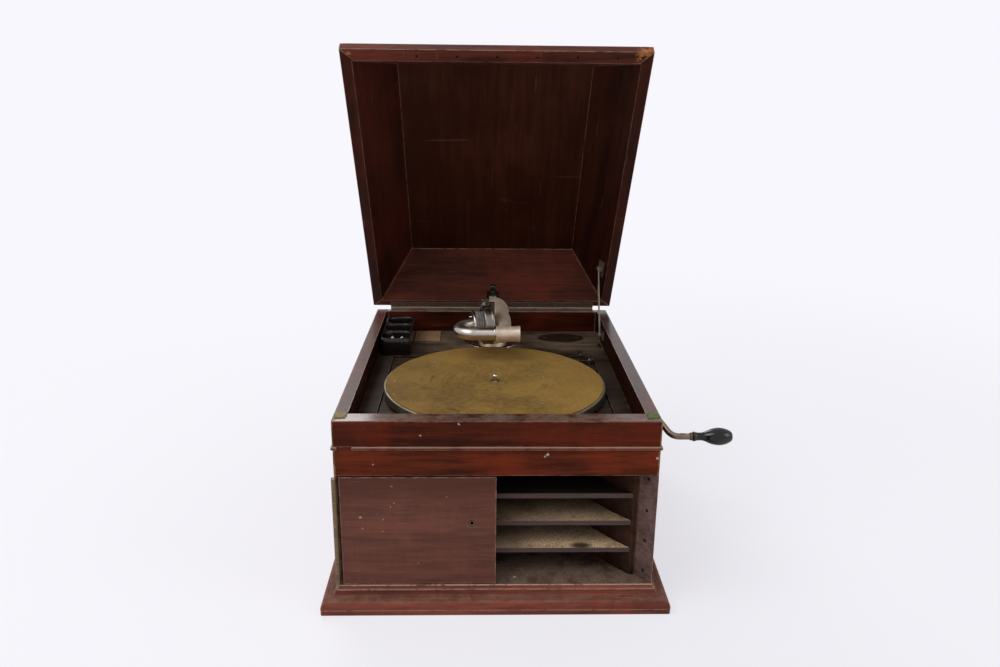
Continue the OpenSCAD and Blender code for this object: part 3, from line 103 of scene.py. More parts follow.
class GramophoneColours(bpy.types.PropertyGroup):
    """Colours of the finishes"""

    mahogany: colour("Mahogany", "Polished rails and walls", (0.092, 0.0150, 0.0050))
    mahogany_dark: colour("Mahogany grain", "Dark grain of the polish", (0.016, 0.0034, 0.0018))
    bare_edge: colour("Worn edge", "Pale wood where the polish has worn off", (0.46, 0.29, 0.20))
    door: colour("Door", "Dull polish of the door", (0.155, 0.053, 0.035))
    deck: colour("Deck", "Dust on the deck", (0.215, 0.155, 0.105))
    dust: colour("Dust", "Dust on level surfaces", (0.27, 0.20, 0.145))
    lid_inside: colour("Lid inside", "Dark polish inside the lid", (0.026, 0.0055, 0.0025))
    felt: colour("Felt", "Turntable felt", (0.240, 0.138, 0.028))
    nickel: colour("Nickel", "Polished nickel plate", (0.62, 0.58, 0.53))
    dull_nickel: colour("Dull nickel", "Aged nickel plate", (0.34, 0.27, 0.21))
    brass: colour("Brass", "Tarnished brass", (0.20, 0.135, 0.075))
    steel: colour("Steel", "Plain steel", (0.42, 0.42, 0.43))
    black: colour("Black", "Black lacquer and japan", (0.008, 0.007, 0.007))


def sizes():
    """The length settings."""
    return bpy.context.scene.gramophone_sizes


def tint(shade):
    """A colour's three numbers, given themselves or by the name of a setting."""
    return tuple(getattr(bpy.context.scene.gramophone_colours, shade)) if isinstance(shade, str) else shade


def times(shade, *by):
    """A colour times one number, or times one for each channel."""
    return tuple(v * k for v, k in zip(shade, by * 3))


# Shader expressions


def put(tree, socket, value):
    """Links a wire to a socket, or sets the socket; a colour is three numbers or a setting's name."""
    if isinstance(value, Wire):
        tree.links.new(value.socket, socket)
    else:
        socket.default_value = (*tint(value), 1.0) if socket.type == "RGBA" else value


class Wire:
    """A socket in a material's node tree, used in Python expressions."""

    def __init__(self, tree, socket):
        self.tree = tree
        self.socket = socket

    def node(self, kind, settings=None, inputs=None, out=0):
        """Adds one node: its settings, then the values or links of its sockets; returns an output."""
        made = self.tree.nodes.new("ShaderNode" + kind)
        for name, value in (settings or {}).items():
            setattr(made, name, value)
        for key, value in (inputs or {}).items():
            put(self.tree, made.inputs[key], value)
        return Wire(self.tree, made.outputs[out])

    def _maths(self, operation, *values):
        return self.node("Math", {"operation": operation}, dict(enumerate(values)))

    def __add__(self, other):
        return self._maths("ADD", self, other)

    __radd__ = __add__

    def __sub__(self, other):
        return self._maths("SUBTRACT", self, other)

    def __rsub__(self, other):
        return self._maths("SUBTRACT", other, self)

    def __mul__(self, other):
        return self._maths("MULTIPLY", self, other)

    __rmul__ = __mul__

    def most(self, other):
        """The larger of two values."""
        return self._maths("MAXIMUM", self, other)

    def least(self, other):
        """The smaller of two values."""
        return self._maths("MINIMUM", self, other)

    def step(self, low, high):
        """0 below low, 1 above high, a smooth rise between; low may be above high."""
        return self.node("MapRange", {"interpolation_type": "SMOOTHSTEP"}, {0: self, 1: low, 2: high})

    def mix(self, first, second):
        """The first colour where this value is 0, the second where it is 1."""
        return self.node("Mix", {"data_type": "RGBA"}, {0: self, 6: first, 7: second}, out=2)

    def noise(self, scale, detail=3, rough=0.6, bend=0.0):
        """Noise at this position, 0 to 1."""
        values = {"Vector": self, "Scale": scale, "Detail": detail, "Roughness": rough, "Distortion": bend}
        return self.node("TexNoise", {}, values)

    def mapped(self, scale=(1, 1, 1), turn=(0, 0, 0)):
        """This position scaled, then turned."""
        return self.node("Mapping", {}, {"Vector": self, "Scale": scale, "Rotation": turn})

    def part(self, axis):
        """One coordinate of this position."""
        return self.node("SeparateXYZ", {}, {0: self}, out=axis)

    def size(self):
        """The value without its sign."""
        return self._maths("ABSOLUTE", self)

    def away(self, point):
        """The distance from a point."""
        return self.node("VectorMath", {"operation": "DISTANCE"}, {0: self, 1: point}, out="Value")

    def near(self, point, reach):
        """1 at a point, 0 beyond its reach."""
        return self.away(point).step(reach, reach * 0.35)


class Finish:
    """A material on its way to its Principled shader."""

    def __init__(self, name):
        self.material = bpy.data.materials.new(name)
        self.material.use_nodes = True
        self.tree = self.material.node_tree
        self.shader = self.tree.nodes["Principled BSDF"]
        made = self.tree.nodes.new("ShaderNodeTexCoord")
        self.place = Wire(self.tree, made.outputs["Object"])

    def edges(self, radius):
        """1 along sharp edges and 0 on flats: 1 minus the dot product of rounded and true normals."""
        soft = self.place.node("Bevel", {"samples": 6}, {"Radius": radius})
        dot = soft.node("VectorMath", {"operation": "DOT_PRODUCT"}, {0: soft, 1: self.facing()}, out="Value")
        return (1 - dot).step(0.004, 0.14)

    def facing(self):
        """The direction that the surface faces."""
        return self.place.node("NewGeometry", out="Normal")

    def upward(self):
        """1 on level surfaces that face up."""
        return self.facing().part(2).step(0.55, 0.95)

    def finish(self, shade, rough, metal=0.0, bump=None, depth=0.0002, fixed=None):
        """Links or sets the shader's sockets, and returns the material."""
        values = {"Base Color": shade, "Roughness": rough, "Metallic": metal}
        if bump is not None:
            values["Normal"] = bump.node("Bump", {}, {"Height": bump, "Distance": depth, "Strength": 1.0})
        for name, value in {**values, **(fixed or {})}.items():
            put(self.tree, self.shader.inputs[name], value)
        return self.material


MATERIALS = {}


def material(name):
    """A finish by its name, made the first time it is asked for."""
    if name not in MATERIALS:
        make, *values = FINISHES[name]
        options = values.pop() if values and isinstance(values[-1], dict) else {}
        MATERIALS[name] = make(Finish(name), *values, **options)
    return MATERIALS[name]


# How the grain runs: the noise is stretched along one axis
GRAIN = {"x": (0.07, 1, 1), "y": (1, 0.07, 1)}

# Polish reflects little, and reddish
POLISH = {"Specular IOR Level": 0.17, "Specular Tint": (0.9, 0.5, 0.4)}

# Places on the object, in metres
FRONT, RAIL_FRONT = -0.238, -0.2375
NAIL_HOLES = [(x * MM, -0.01464, 0.65095) for x in (-102, -51, 0, 51, 102.5, 153.4)]
TORN_CORNERS = (((0.190, -0.0165, 0.654), 0.018), ((-0.189, -0.0155, 0.652), 0.006))
POST_HOLES = [(0.1831, -0.2272, z * MM) for z in (42.1, 83.8, 125.2, 167.7)]
KNOB_HOLE = (-0.0297, FRONT, 0.1144)
SPINDLE = (0, -0.046, 0.226)
SWIRL_CENTRE = (0.004, -0.05, 0.226)
# Middle of the painted shade on the arm's side by the sound box
ARM_SHADE_SPOT = (-0.006, 0.108, 0.256)
WIPED_PATCH = (0.0583, -0.212, 0.0681)
FLOOR_SPECK = (0.0235, -0.2225, 0.030)

# Where the walls' painted inside shade and the bare post begin, across, along and up: both ends of the blur
INSIDE = ((0.1782, 0.1778), (0.2290, 0.2285), (0.2470, 0.2465))
BARE_POST = ((0.1924, 0.1918), (-0.2160, -0.2168), (0.1775, 0.1765))

# The moulding's hollow, its lower and its upper end
HOLLOW = ((0.0165, 0.0185), (0.0262, 0.0245))

# Dents and chips in millimetres: across, up, radius
DOOR_MARKS = ((-125, 164, 2.2), (-122.5, 142, 1.8), (-127, 137, 1.6), (-163.5, 123, 3.2), (-161, 108, 2.4),
              (-137, 104, 1.6), (-136, 120, 1.5), (-60, 150, 1.2), (-95, 60, 1.5))
UPPER_CHIPS = ((-90, 229.5, 1.8), (-45, 244, 2.2))
LOWER_CHIPS = ((59, 205, 2.6), (56, 202.5, 1.8), (189, 200, 2.2), (-146, 192, 1.5))

# Above this height the slats' upward faces are painted near black as shade; dust lies on the slats below it
SLAT_TOP = 0.1315

# The painted shade in the depth of a nail or screw hole
HOLE_SHADE = (0.004, 0.002, 0.002)


def wood(f, base, dark, along, tilt=0.0, gloss=0.34, dusty=0.0, wear=1.0, marks=0.5, shadowed=0.0,
         post=False, sheen=0.0, hollow=0.0, crest=0.0, chips=(), nails=False):
    """Worn polished wood: figure, pores, scratches, dull patches, pale worn edges and dust, with painted
    shade inside the walls and in holes and a painted highlight along a crest.
    """
    base, dark = tint(base), tint(dark)
    at = f.place
    level = at.mapped(turn=(tilt, 0, 0)) if tilt else at
    run = level.mapped(scale=GRAIN[along])
    figure = run.noise(26, 4, 0.6, 0.6)
    streak = run.noise(170)
    pores = run.mapped(scale=tuple(0.45 if s < 1 else 1 for s in GRAIN[along])).noise(950, 2)
    pores = pores.step(0.56, 0.74)
    cloud = level.noise(9, 4)
    shade = (figure * 0.65 + streak * 0.35).step(0.36, 0.66).mix(dark, base)
    shade = (pores * 0.33).mix(shade, times(dark, 0.35))
    shade = (cloud.step(0.48, 0.66) * 0.5).mix(shade, times(base, 1.5, 1.1, 1.1))
    shade = (run.noise(420, 2).step(0.52, 0.66) * 0.35).mix(shade, dark)
    # Fine scratches in two directions and a few pale rubs
    lines = level.mapped(scale=(1, 0.05, 1), turn=(0.3, 0.5, 0.6)).noise(330, 2, 0.5).step(0.70, 0.78)
    crossing = level.mapped(scale=(0.04, 1, 1), turn=(-0.4, 0.2, -0.35)).noise(300, 2, 0.5)
    lines = lines.most(crossing.step(0.71, 0.78))
    rubs = level.noise(38, 5, 0.7).step(0.66, 0.76) * level.noise(310).step(0.42, 0.6)
    shade = ((lines * 0.22 + rubs * 0.4) * marks).mix(shade, "bare_edge")
    reach = sizes().wear_reach
    rim = f.edges(reach) * level.noise(70, 4, 0.7).step(0.36, 0.54)
    narrow = f.edges(reach * 0.6) * (level.noise(30).step(0.40, 0.60) * 0.55 + 0.2)
    rim = rim.most(narrow) * wear
    shade = rim.mix(shade, "bare_edge")
    if nails:
        # Painted shade in the depth of each nail hole
        for point in NAIL_HOLES:
            shade = at.near(point, 0.0030).mix(shade, HOLE_SHADE)
        right, left = (at.near(point, size) for point, size in TORN_CORNERS)
        torn = right.most(left) * level.noise(150, 4, 0.7).step(0.46, 0.54)
        shade = (torn * 0.85).mix(shade, (0.42, 0.16, 0.05))
    for x, z, r in chips:
        chip = at.near((x * MM, RAIL_FRONT, z * MM), r * MM) * level.noise(500).step(0.40, 0.52)
        shade = (chip * 0.9).mix(shade, (0.62, 0.50, 0.40))
    # Painted highlight: the upward-facing top of a bead is made paler, as light falls on it
    if crest:
        top = f.facing().part(2).step(0.25, 0.6) * (cloud.step(0.3, 0.55) * 0.6 + 0.4)
        shade = (top * crest).mix(shade, (0.42, 0.25, 0.18))
    if shadowed:
        # Painted shade: the walls' inside is darker than their outside
        x, y, z = INSIDE
        within = at.part(0).size().step(*x) * at.part(1).size().step(*y) * at.part(2).step(*z)
        shade = (within * shadowed).mix(shade, times(dark, 0.3))
    if post:
        # The missing door's post: stale wood with screw holes
        x, y, z = BARE_POST
        cut = at.part(1).step(*y) * at.part(2).step(*z) * at.part(0).step(*x)
        stale = (streak * 0.5 + cloud * 0.5).step(0.35, 0.65)
        shade = cut.mix(shade, stale.mix((0.068, 0.040, 0.034), (0.160, 0.100, 0.088)))
        # Painted shade in the depth of each screw hole
        for point in POST_HOLES:
            shade = at.near(point, 0.0030).mix(shade, HOLE_SHADE)
    rough = gloss + cloud * 0.22 + rim * 0.2 + streak * 0.08
    if dusty:
        lint = level.noise(55, 5, 0.7).step(0.30, 0.68) * (0.55 + level.noise(700, 2) * 0.6)
        dust = f.upward() * lint * dusty
        shade = dust.mix(shade, "dust")
        rough = rough + dust * 0.35
    if hollow:
        # Grime in the moulding's hollow
        lower, upper = HOLLOW
        band = at.part(2).step(*lower) * at.part(2).step(*upper)
        grime = band * level.noise(40, 4).step(0.25, 0.6) * hollow
        shade = grime.mix(shade, (0.045, 0.014, 0.009))
        rough = rough + grime * 0.3
    fixed = {**POLISH, "Coat Weight": f.upward() * sheen, "Coat Roughness": 0.22} if sheen else POLISH
    bump = pores * -0.35 + streak * 0.25 - lines * 0.3 - rubs * 0.4
    return f.finish(shade, rough.least(0.95), bump=bump, depth=0.00012, fixed=fixed)


def door_wood(f):
    """The door: dull polish with pale dents and a rubbed ring at the knob hole."""
    base = tint("door")
    at = f.place
    run = at.mapped(scale=GRAIN["x"])
    figure = run.noise(30, 4, 0.6, 0.5)
    streak = run.noise(220)
    pores = run.noise(1100, 2).step(0.58, 0.74)
    cloud = at.noise(11, 4, 0.65)
    dark = times(base, 0.55)
    weave = at.mapped(scale=(1, 1, 0.12)).noise(480, 2)
    shade = (figure * 0.4 + streak * 0.48 + weave * 0.12).step(0.34, 0.68).mix(dark, base)
    shade = (cloud.step(0.45, 0.7) * 0.5).mix(shade, times(base, 1.35))
    shade = (at.part(2).step(0.130, 0.172) * 0.7).mix(shade, (0.060, 0.014, 0.008))
    shade = (pores * 0.3).mix(shade, times(dark, 0.4))
    marks = [at.near((x * MM, FRONT, z * MM), r * 0.8 * MM) for x, z, r in DOOR_MARKS]
    spots = reduce(Wire.most, marks) * at.noise(420).step(0.38, 0.52)
    specks = at.noise(210).step(0.71, 0.77) * at.noise(16).step(0.48, 0.6)
    lines = at.mapped(scale=(0.05, 1, 1), turn=(0, 0.25, 0)).noise(330, 2, 0.5).step(0.70, 0.78)
    shade = (spots * 0.85).most(specks * 0.6).most(lines * 0.15).mix(shade, (0.42, 0.28, 0.23))
    ring = at.near(KNOB_HOLE, 0.0085)
    shade = (ring * 0.75).mix(shade, (0.045, 0.018, 0.012))
    rim = f.edges(sizes().wear_reach) * at.noise(80, 4, 0.7).step(0.36, 0.6)
    shade = (rim * 0.8).mix(shade, (0.42, 0.29, 0.22))
    rough = 0.42 + cloud * 0.2 + spots * 0.2
    bump = streak * 0.25 - pores * 0.3 - spots * 0.9
    fixed = {"Specular IOR Level": 0.3, "Specular Tint": (0.95, 0.75, 0.65)}
    return f.finish(shade, rough, bump=bump, depth=0.0002, fixed=fixed)


def deck_wood(f):
    """The deck: nearly black brown, grey with dust behind the turntable, streaked along the boards."""
    at = f.place
    run = at.mapped(scale=GRAIN["x"])
    streak = run.noise(120, 4, 0.6, 0.4)
    cloud = at.noise(13, 5, 0.65)
    fine = at.noise(520)
    brown = (streak * 0.6 + cloud * 0.4).step(0.35, 0.66)
    brown = brown.mix((0.010, 0.006, 0.0045), (0.034, 0.020, 0.014))
    behind = (at.part(1) + (cloud - 0.5) * 0.09).step(0.085, 0.16)
    lint = (streak * 0.5 + cloud * 0.5).step(0.34, 0.60) * (0.6 + fine * 0.5)
    dust = f.upward() * lint * (behind * 0.9 + 0.10)
    shade = dust.mix(brown, "deck")
    rim = f.edges(sizes().wear_reach) * at.noise(80, 4, 0.7).step(0.42, 0.6)
    shade = (rim * 0.35).mix(shade, "bare_edge")
    fixed = {"Specular IOR Level": 0.2, "Specular Tint": (0.95, 0.75, 0.6)}
    rough = 0.5 + dust * 0.3 + cloud * 0.1
    return f.finish(shade, rough, bump=streak * 0.5 + lint * 0.3, depth=0.00015, fixed=fixed)


def lid_inside(f):
    """Inside of the lid: near-black polish with long faint scratches and smudges."""
    at = f.place
    level = at.mapped(turn=(LID_OPEN, 0, 0))
    run = level.mapped(scale=GRAIN["y"])
    streak = run.noise(120, 4, 0.6, 0.4)
    cloud = level.noise(7, 4, 0.65)
    shade = (streak * 0.5 + cloud * 0.5).step(0.42, 0.66).mix("lid_inside", (0.050, 0.0135, 0.0065))
    smudge = level.mapped(scale=(1, 0.4, 1)).noise(17, 5, 0.7).step(0.62, 0.76)
    smudge = smudge * level.noise(120, 3, 0.7).step(0.4, 0.65)
    lines = level.mapped(scale=(1, 0.03, 1), turn=(0.1, 0.2, 0.5)).noise(210, 2, 0.5).step(0.715, 0.76)
    crossing = level.mapped(scale=(0.03, 1, 1), turn=(0, 0.1, 0.25)).noise(190, 2, 0.5)
    lines = lines.most(crossing.step(0.72, 0.76))
    shade = (smudge * 0.2).most(lines * 0.12).mix(shade, (0.30, 0.22, 0.19))
    rough = 0.36 + cloud * 0.25 + smudge * 0.2
    return f.finish(shade, rough, bump=streak - lines * 0.5, depth=0.00008, fixed=POLISH)


def dusty_wood(f, bare=0.5, dust=(0.21, 0.145, 0.105), clean_above=1.0, slats=False):
    """Plain board grey with dust, near black on upward faces above a height as painted shade, its front
    edges rubbed brown; on slats the dust is painted darker towards the back, the left and the top as
    shade, and the front faces lighter as painted light."""
    at = f.place
    run = at.mapped(scale=GRAIN["x"])
    figure = run.noise(60, 4, 0.6, 0.5)
    cloud = at.noise(14, 5, 0.65)
    shade = (figure * 0.6 + cloud * 0.4).step(0.35, 0.65)
    shade = shade.mix((0.026, 0.009, 0.006), (0.070, 0.030, 0.021))
    fluff = at.noise(620, 3, 0.7).step(0.35, 0.65)
    lint = at.noise(30, 6, 0.75).step(0.12 if slats else 0.30, 0.58) * (0.45 + fluff * 0.75)
    shaded_top = at.part(2).step(clean_above, clean_above + 0.002) * f.upward()
    # Painted shade: on slats the dust darkens towards the back, the left and the top, where less light falls
    lit = 1.0
    if slats:
        lit = at.part(1).step(-0.115, -0.205) * (at.part(0).step(0.0, 0.075) * 0.5 + 0.5)
        lit = lit * (at.part(2).step(0.112, 0.070) * 0.5 + 0.5) + 0.06
    shade = (f.upward() * lint * lit * 0.9).mix(shade, dust)
    # Painted shade: upward faces above the given height are made near black
    shade = (shaded_top * 0.97).mix(shade, (0.005, 0.0025, 0.0015))
    if slats:
        # A patch on the lowest slat rubbed free of dust, and painted light: the slats' forward-facing faces
        # lighter and greyer
        wiped = at.mapped(scale=(0.55, 1, 1)).near(WIPED_PATCH, 0.0105)
        shade = (wiped * 0.9).mix(shade, (0.020, 0.008, 0.006))
        front = f.facing().part(1).step(-0.5, -0.9)
        shade = (front * (figure * 0.5 + 0.4)).mix(shade, (0.105, 0.075, 0.068))
    specks = at.noise(260, 2).step(0.735, 0.77)
    specks = specks.most(at.near(FLOOR_SPECK, 0.0028))
    shade = (specks * 0.7 * f.upward()).mix(shade, (0.6, 0.55, 0.5))
    rim = f.edges(sizes().wear_reach * 0.6) * at.noise(90, 4, 0.7).step(0.35, 0.6) * bare
    shade = rim.mix(shade, (0.34, 0.25, 0.20))
    fixed = {"Specular IOR Level": 0.2}
    return f.finish(shade, 0.62 + lint * 0.25, bump=figure + lint * 0.5, depth=0.00015, fixed=fixed)


def metal(f, base, rough, spots, worn=(0.8, 0.76, 0.7), brushed=0.2, metallic=1.0):
    """Plated or bare metal: cloudy tarnish, small pits, faint brushing and rubbed edges."""
    at = f.place
    cloud = at.noise(60, 5, 0.65)
    pits = at.noise(900).step(0.60, 0.70)
    hair = at.mapped(scale=(0.05, 1, 1)).noise(1500, 2, 0.5)
    tarnish = (cloud.step(0.46, 0.68) * 0.8 + pits * 0.6) * spots
    shade = tarnish.mix(base, (0.10, 0.075, 0.055))
    rim = f.edges(0.0008) * cloud.step(0.35, 0.55)
    shade = (rim * 0.6).mix(shade, worn)
    level = rough + tarnish * 0.35 + hair * 0.1 * brushed
    metalness = metallic - tarnish * 0.35
    return f.finish(shade, level, metalness, bump=hair * brushed - pits * 0.5, depth=0.00004)


def arm_paint(f):
    """The arm's worn bronze paint: satin and speckled, with painted shade on the side by the sound box."""
    at = f.place
    cloud = at.noise(60, 5, 0.65)
    fine = at.noise(700, 3, 0.7)
    shade = (cloud * 0.5 + fine * 0.5).step(0.36, 0.62)
    shade = shade.mix((0.58, 0.46, 0.34), (0.86, 0.70, 0.54))
    # Painted shade: the tube's side by the sound box is darkened where the box shades it
    painted_shade = at.near(ARM_SHADE_SPOT, 0.024) * (0.7 + cloud * 0.4)
    shade = painted_shade.mix(shade, (0.022, 0.013, 0.009))
    rim = f.edges(0.0008) * cloud.step(0.30, 0.50)
    shade = (rim * 0.7).mix(shade, (0.85, 0.78, 0.66))
    return f.finish(shade, 0.34 + fine * 0.15, 0.55, bump=fine, depth=0.00006)


def felt(f, base):
    """Worn felt: matted fibres, dark and pale swirls, lint specks, a dark ring at the spindle, and painted
    light towards the back and the right.
    """
    base = tint(base)
    at = f.place
    fibres = at.noise(1400, 4, 0.75)
    mat = at.noise(230, 4, 0.7)
    cloud = at.noise(14, 4)
    dark = times(base, 0.45)
    coarse = at.noise(110, 5, 0.75)
    shade = (fibres * 0.3 + mat * 0.35 + coarse * 0.35).step(0.36, 0.60).mix(dark, base)
    shade = (cloud.step(0.40, 0.66) * 0.55).mix(shade, times(base, 1.5))
    turn = at.node("CombineXYZ", {}, {0: at.away(SWIRL_CENTRE), 1: cloud * 0.05, 2: mat * 0.004})
    swirl = turn.noise(95, 4, 0.65).step(0.50, 0.68) * at.noise(18).step(0.40, 0.60)
    shade = (swirl * 0.8).mix(shade, times(base, 0.45, 0.36, 0.6))
    fine = turn.noise(260).step(0.60, 0.70) * cloud.step(0.44, 0.56)
    shade = (fine * 0.35).mix(shade, (0.44, 0.32, 0.13))
    shade = (at.part(0).step(0.0, -0.15) * 0.3).mix(shade, times(base, 0.5, 0.52, 1.1))
    # Painted light: the felt is lighter towards the back and the right
    back = (at.part(1).step(-0.03, 0.09) * 0.45).most(at.part(0).step(0.02, 0.13) * 0.42)
    shade = back.mix(shade, times(base, 1.7))
    lint = at.noise(330, 2, 0.5).step(0.735, 0.765)
    shade = (lint * 0.8).mix(shade, (0.72, 0.68, 0.60))
    rubs = at.noise(48, 4, 0.7).step(0.66, 0.74)
    shade = (rubs * 0.4).mix(shade, dark)
    shade = (at.near(SPINDLE, 0.009) * 0.85).mix(shade, (0.02, 0.014, 0.01))
    fixed = {"Sheen Weight": 0.04, "Sheen Roughness": 0.6, "Specular IOR Level": 0.08}
    return f.finish(shade, 0.95, bump=fibres * 0.6 + mat, depth=0.0004, fixed=fixed)


def lacquer(f, base, rough, spots, pale=(0.12, 0.11, 0.10), reach=0.0009):
    """Black lacquer or japan: glossy, with dust, fine scratches and rubbed edges."""
    at = f.place
    cloud = at.noise(45, 4)
    lines = at.mapped(scale=(0.08, 1, 1), turn=(0.2, 0.4, 0.5)).noise(500, 2, 0.5).step(0.70, 0.78)
    dust = at.noise(600).step(0.60, 0.72) * cloud.step(0.4, 0.6) * f.upward()
    shade = (lines * 0.3 * spots).most(dust * 0.6 * spots).mix(base, pale)
    rim = f.edges(reach) * cloud.step(0.40, 0.56) * spots
    shade = rim.mix(shade, (0.24, 0.20, 0.17))
    rough = rough + cloud * 0.15 + lines * 0.2
    return f.finish(shade, rough, bump=lines * -1.0 + cloud * 0.4, depth=0.00004)


def rubber(f):
    """Perished grey rubber, matt with a fine crazed surface."""
    at = f.place
    cloud = at.noise(120, 4)
    crazing = at.node("TexVoronoi", {"feature": "DISTANCE_TO_EDGE"}, {"Vector": at, "Scale": 900})
    shade = cloud.step(0.35, 0.65).mix((0.13, 0.12, 0.11), (0.26, 0.24, 0.21))
    shade = (crazing.step(0.06, 0.0) * 0.5).mix(shade, (0.06, 0.05, 0.045))
    return f.finish(shade, 0.8, bump=crazing.step(0.0, 0.1), depth=0.0001)


def mica(f):
    """Thin mica: pale amber with faint cleavage patches."""
    at = f.place
    flakes = at.noise(150, 3, 0.6, 1.5)
    shade = flakes.step(0.4, 0.6).mix((0.42, 0.33, 0.20), (0.62, 0.54, 0.38))
    return f.finish(shade, 0.15 + flakes * 0.1, bump=flakes, depth=0.00003)


# Each finish: its function, then its values, with the named ones last
FINISHES = {
    "mahogany_x": (wood, "mahogany", "mahogany_dark", "x",
                   {"dusty": 0.6, "shadowed": 0.15, "sheen": 1.0, "chips": UPPER_CHIPS}),
    "mahogany_low": (wood, (0.135, 0.024, 0.007), (0.026, 0.005, 0.0025), "x",
                     {"dusty": 0.3, "chips": LOWER_CHIPS}),
    "mahogany_y": (wood, "mahogany", "mahogany_dark", "y", {"dusty": 0.15, "shadowed": 0.75, "sheen": 0.2}),
    "mitred_wood": (wood, "mahogany", "mahogany_dark", "y",
                    {"dusty": 0.15, "shadowed": 0.85, "post": True, "sheen": 1.0}),
    "foot_wood_x": (wood, (0.235, 0.066, 0.045), (0.085, 0.026, 0.018), "x",
                    {"dusty": 0.5, "wear": 1.2, "marks": 0.9, "hollow": 0.35}),
    "lid_wood_x": (wood, (0.115, 0.030, 0.018), (0.032, 0.010, 0.0065), "x",
                   {"tilt": LID_OPEN, "marks": 0.7, "wear": 0.7, "nails": True}),
    "lid_wood_y": (wood, (0.046, 0.0098, 0.0048), (0.013, 0.0030, 0.0016), "y",
                   {"tilt": LID_OPEN, "marks": 0.7, "wear": 0.45}),
    "horn_wood": (wood, (0.045, 0.022, 0.014), (0.016, 0.007, 0.004), "y",
                  {"gloss": 0.55, "dusty": 0.5, "wear": 0.15}),
    "bead_wood": (wood, (0.13, 0.042, 0.024), (0.045, 0.014, 0.009), "x",
                  {"dusty": 0.3, "wear": 1.2, "marks": 1.0, "crest": 0.9}),
    "lid_inside": (lid_inside,),
    "door_wood": (door_wood,),
    "deck_wood": (deck_wood,),
    "dusty_wood": (dusty_wood,),
    "slat_wood": (dusty_wood, 0.8, (0.95, 0.69, 0.42), SLAT_TOP, True),
    "arm_paint": (arm_paint,),
    "nickel": (metal, "nickel", 0.16, 0.25),
    "dull_nickel": (metal, "dull_nickel", 0.42, 0.5, {"metallic": 0.85}),
    "neck_nickel": (metal, (0.72, 0.65, 0.57), 0.27, 0.5),
    "ring_nickel": (metal, (0.30, 0.26, 0.23), 0.24, 0.5),
    "rim_nickel": (metal, (0.25, 0.215, 0.165), 0.45, 0.6, (0.2, 0.16, 0.12)),
    "plate_tan": (metal, (0.48, 0.30, 0.155), 0.55, 0.4, (0.70, 0.58, 0.42), {"metallic": 0.3}),
    "chuck_nickel": (metal, (0.13, 0.11, 0.095), 0.26, 0.5, (0.5, 0.46, 0.4)),
    "brass": (metal, "brass", 0.42, 0.7, (0.62, 0.52, 0.38), {"metallic": 0.9}),
    "steel": (metal, "steel", 0.32, 0.35, {"brushed": 0.6}),
    "hinge_steel": (metal, (0.27, 0.20, 0.155), 0.42, 0.6, {"brushed": 0.4, "metallic": 0.85}),
    "crank_steel": (metal, (0.30, 0.23, 0.175), 0.30, 0.5, {"brushed": 0.4}),
    "dark_steel": (metal, (0.045, 0.038, 0.033), 0.16, 0.3, (0.3, 0.26, 0.22)),
    "iron": (metal, (0.035, 0.035, 0.036), 0.6, 0.5, (0.2, 0.2, 0.2), {"metallic": 0.5}),
    "spring_steel": (metal, (0.12, 0.14, 0.19), 0.3, 0.3),
    "felt": (felt, "felt"),
    "felt_yellow": (felt, (0.30, 0.24, 0.09)),
    "felt_green": (felt, (0.115, 0.155, 0.055)),
    "tray_tin": (lacquer, (0.009, 0.006, 0.005), 0.10, 0.5, (0.14, 0.12, 0.10), 0.0012),
    "oval_tin": (lacquer, (0.022, 0.013, 0.008), 0.35, 0.8),
    "black_grip": (lacquer, "black", 0.08, 0.25),
    "rubber": (rubber,),
    "mica": (mica,),
}


# Meshes


def around(steps):
    """Angles of one turn in equal steps."""
    return np.linspace(0, 2 * np.pi, steps, endpoint=False)


def rounded(corners, radius, steps=5):
    """A line with rounded corners: each corner gives way to the parabola that leaves and meets the
    line up to radius away from it and has it as its handle. Works in two or three dimensions."""
    c = np.asarray(corners, float)
    before, after = c[:-2] - c[1:-1], c[2:] - c[1:-1]
    gap_b, gap_a = np.linalg.norm(before, axis=1), np.linalg.norm(after, axis=1)
    reach = np.minimum(np.broadcast_to(radius, len(c) - 2), 0.48 * np.minimum(gap_b, gap_a))
    a = c[1:-1] + before / gap_b[:, None] * reach[:, None]
    b = c[1:-1] + after / gap_a[:, None] * reach[:, None]
    t = np.linspace(0, 1, steps)[None, :, None]
    curve = (1 - t) ** 2 * a[:, None] + 2 * t * (1 - t) * c[1:-1][:, None] + t ** 2 * b[:, None]
    return np.vstack([c[:1], curve.reshape(-1, c.shape[1]), c[-1:]])


def painted(mesh, finish):
    """Gives a mesh its one finish."""
    mesh.materials.clear()
    mesh.materials.append(material(finish))


def shown(name, mesh, finish):
    """Puts a smooth mesh in the scene in its finish."""
    mesh.polygons.foreach_set("use_smooth", [True] * len(mesh.polygons))
    painted(mesh, finish)
    piece = bpy.data.objects.new(name, mesh)
    bpy.context.scene.collection.objects.link(piece)
    return piece


def grid_piece(name, points, finish, body, wrap_u=False, node=None):
    """Makes a piece from a grid of points in millimetres, points[u, v], each joined to its neighbours
    and v running round. Its doubles are merged and its faces turned outwards; it rides on its body,
    and stands in the place of a CAD node where one is given."""
    nu, nv = points.shape[:2]
    uu, vv = np.meshgrid(np.arange(nu if wrap_u else nu - 1), np.arange(nv), indexing="ij")
    u1, v1 = (uu + 1) % nu, (vv + 1) % nv
    faces = np.stack([uu * nv + vv, uu * nv + v1, u1 * nv + v1, u1 * nv + vv], -1).reshape(-1, 4)
    mesh = bpy.data.meshes.new(name)
    mesh.from_pydata((points.reshape(-1, 3) * MM).tolist(), [], faces.tolist())
    bm = bmesh.new()
    bm.from_mesh(mesh)
    bmesh.ops.remove_doubles(bm, verts=bm.verts, dist=2e-6)
    bmesh.ops.dissolve_degenerate(bm, edges=bm.edges, dist=1e-7)
    bmesh.ops.recalc_face_normals(bm, faces=bm.faces)
    bm.to_mesh(mesh)
    bm.free()
    piece = shown(name, mesh, finish)
    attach(piece, body)
    if node:
        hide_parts(node)


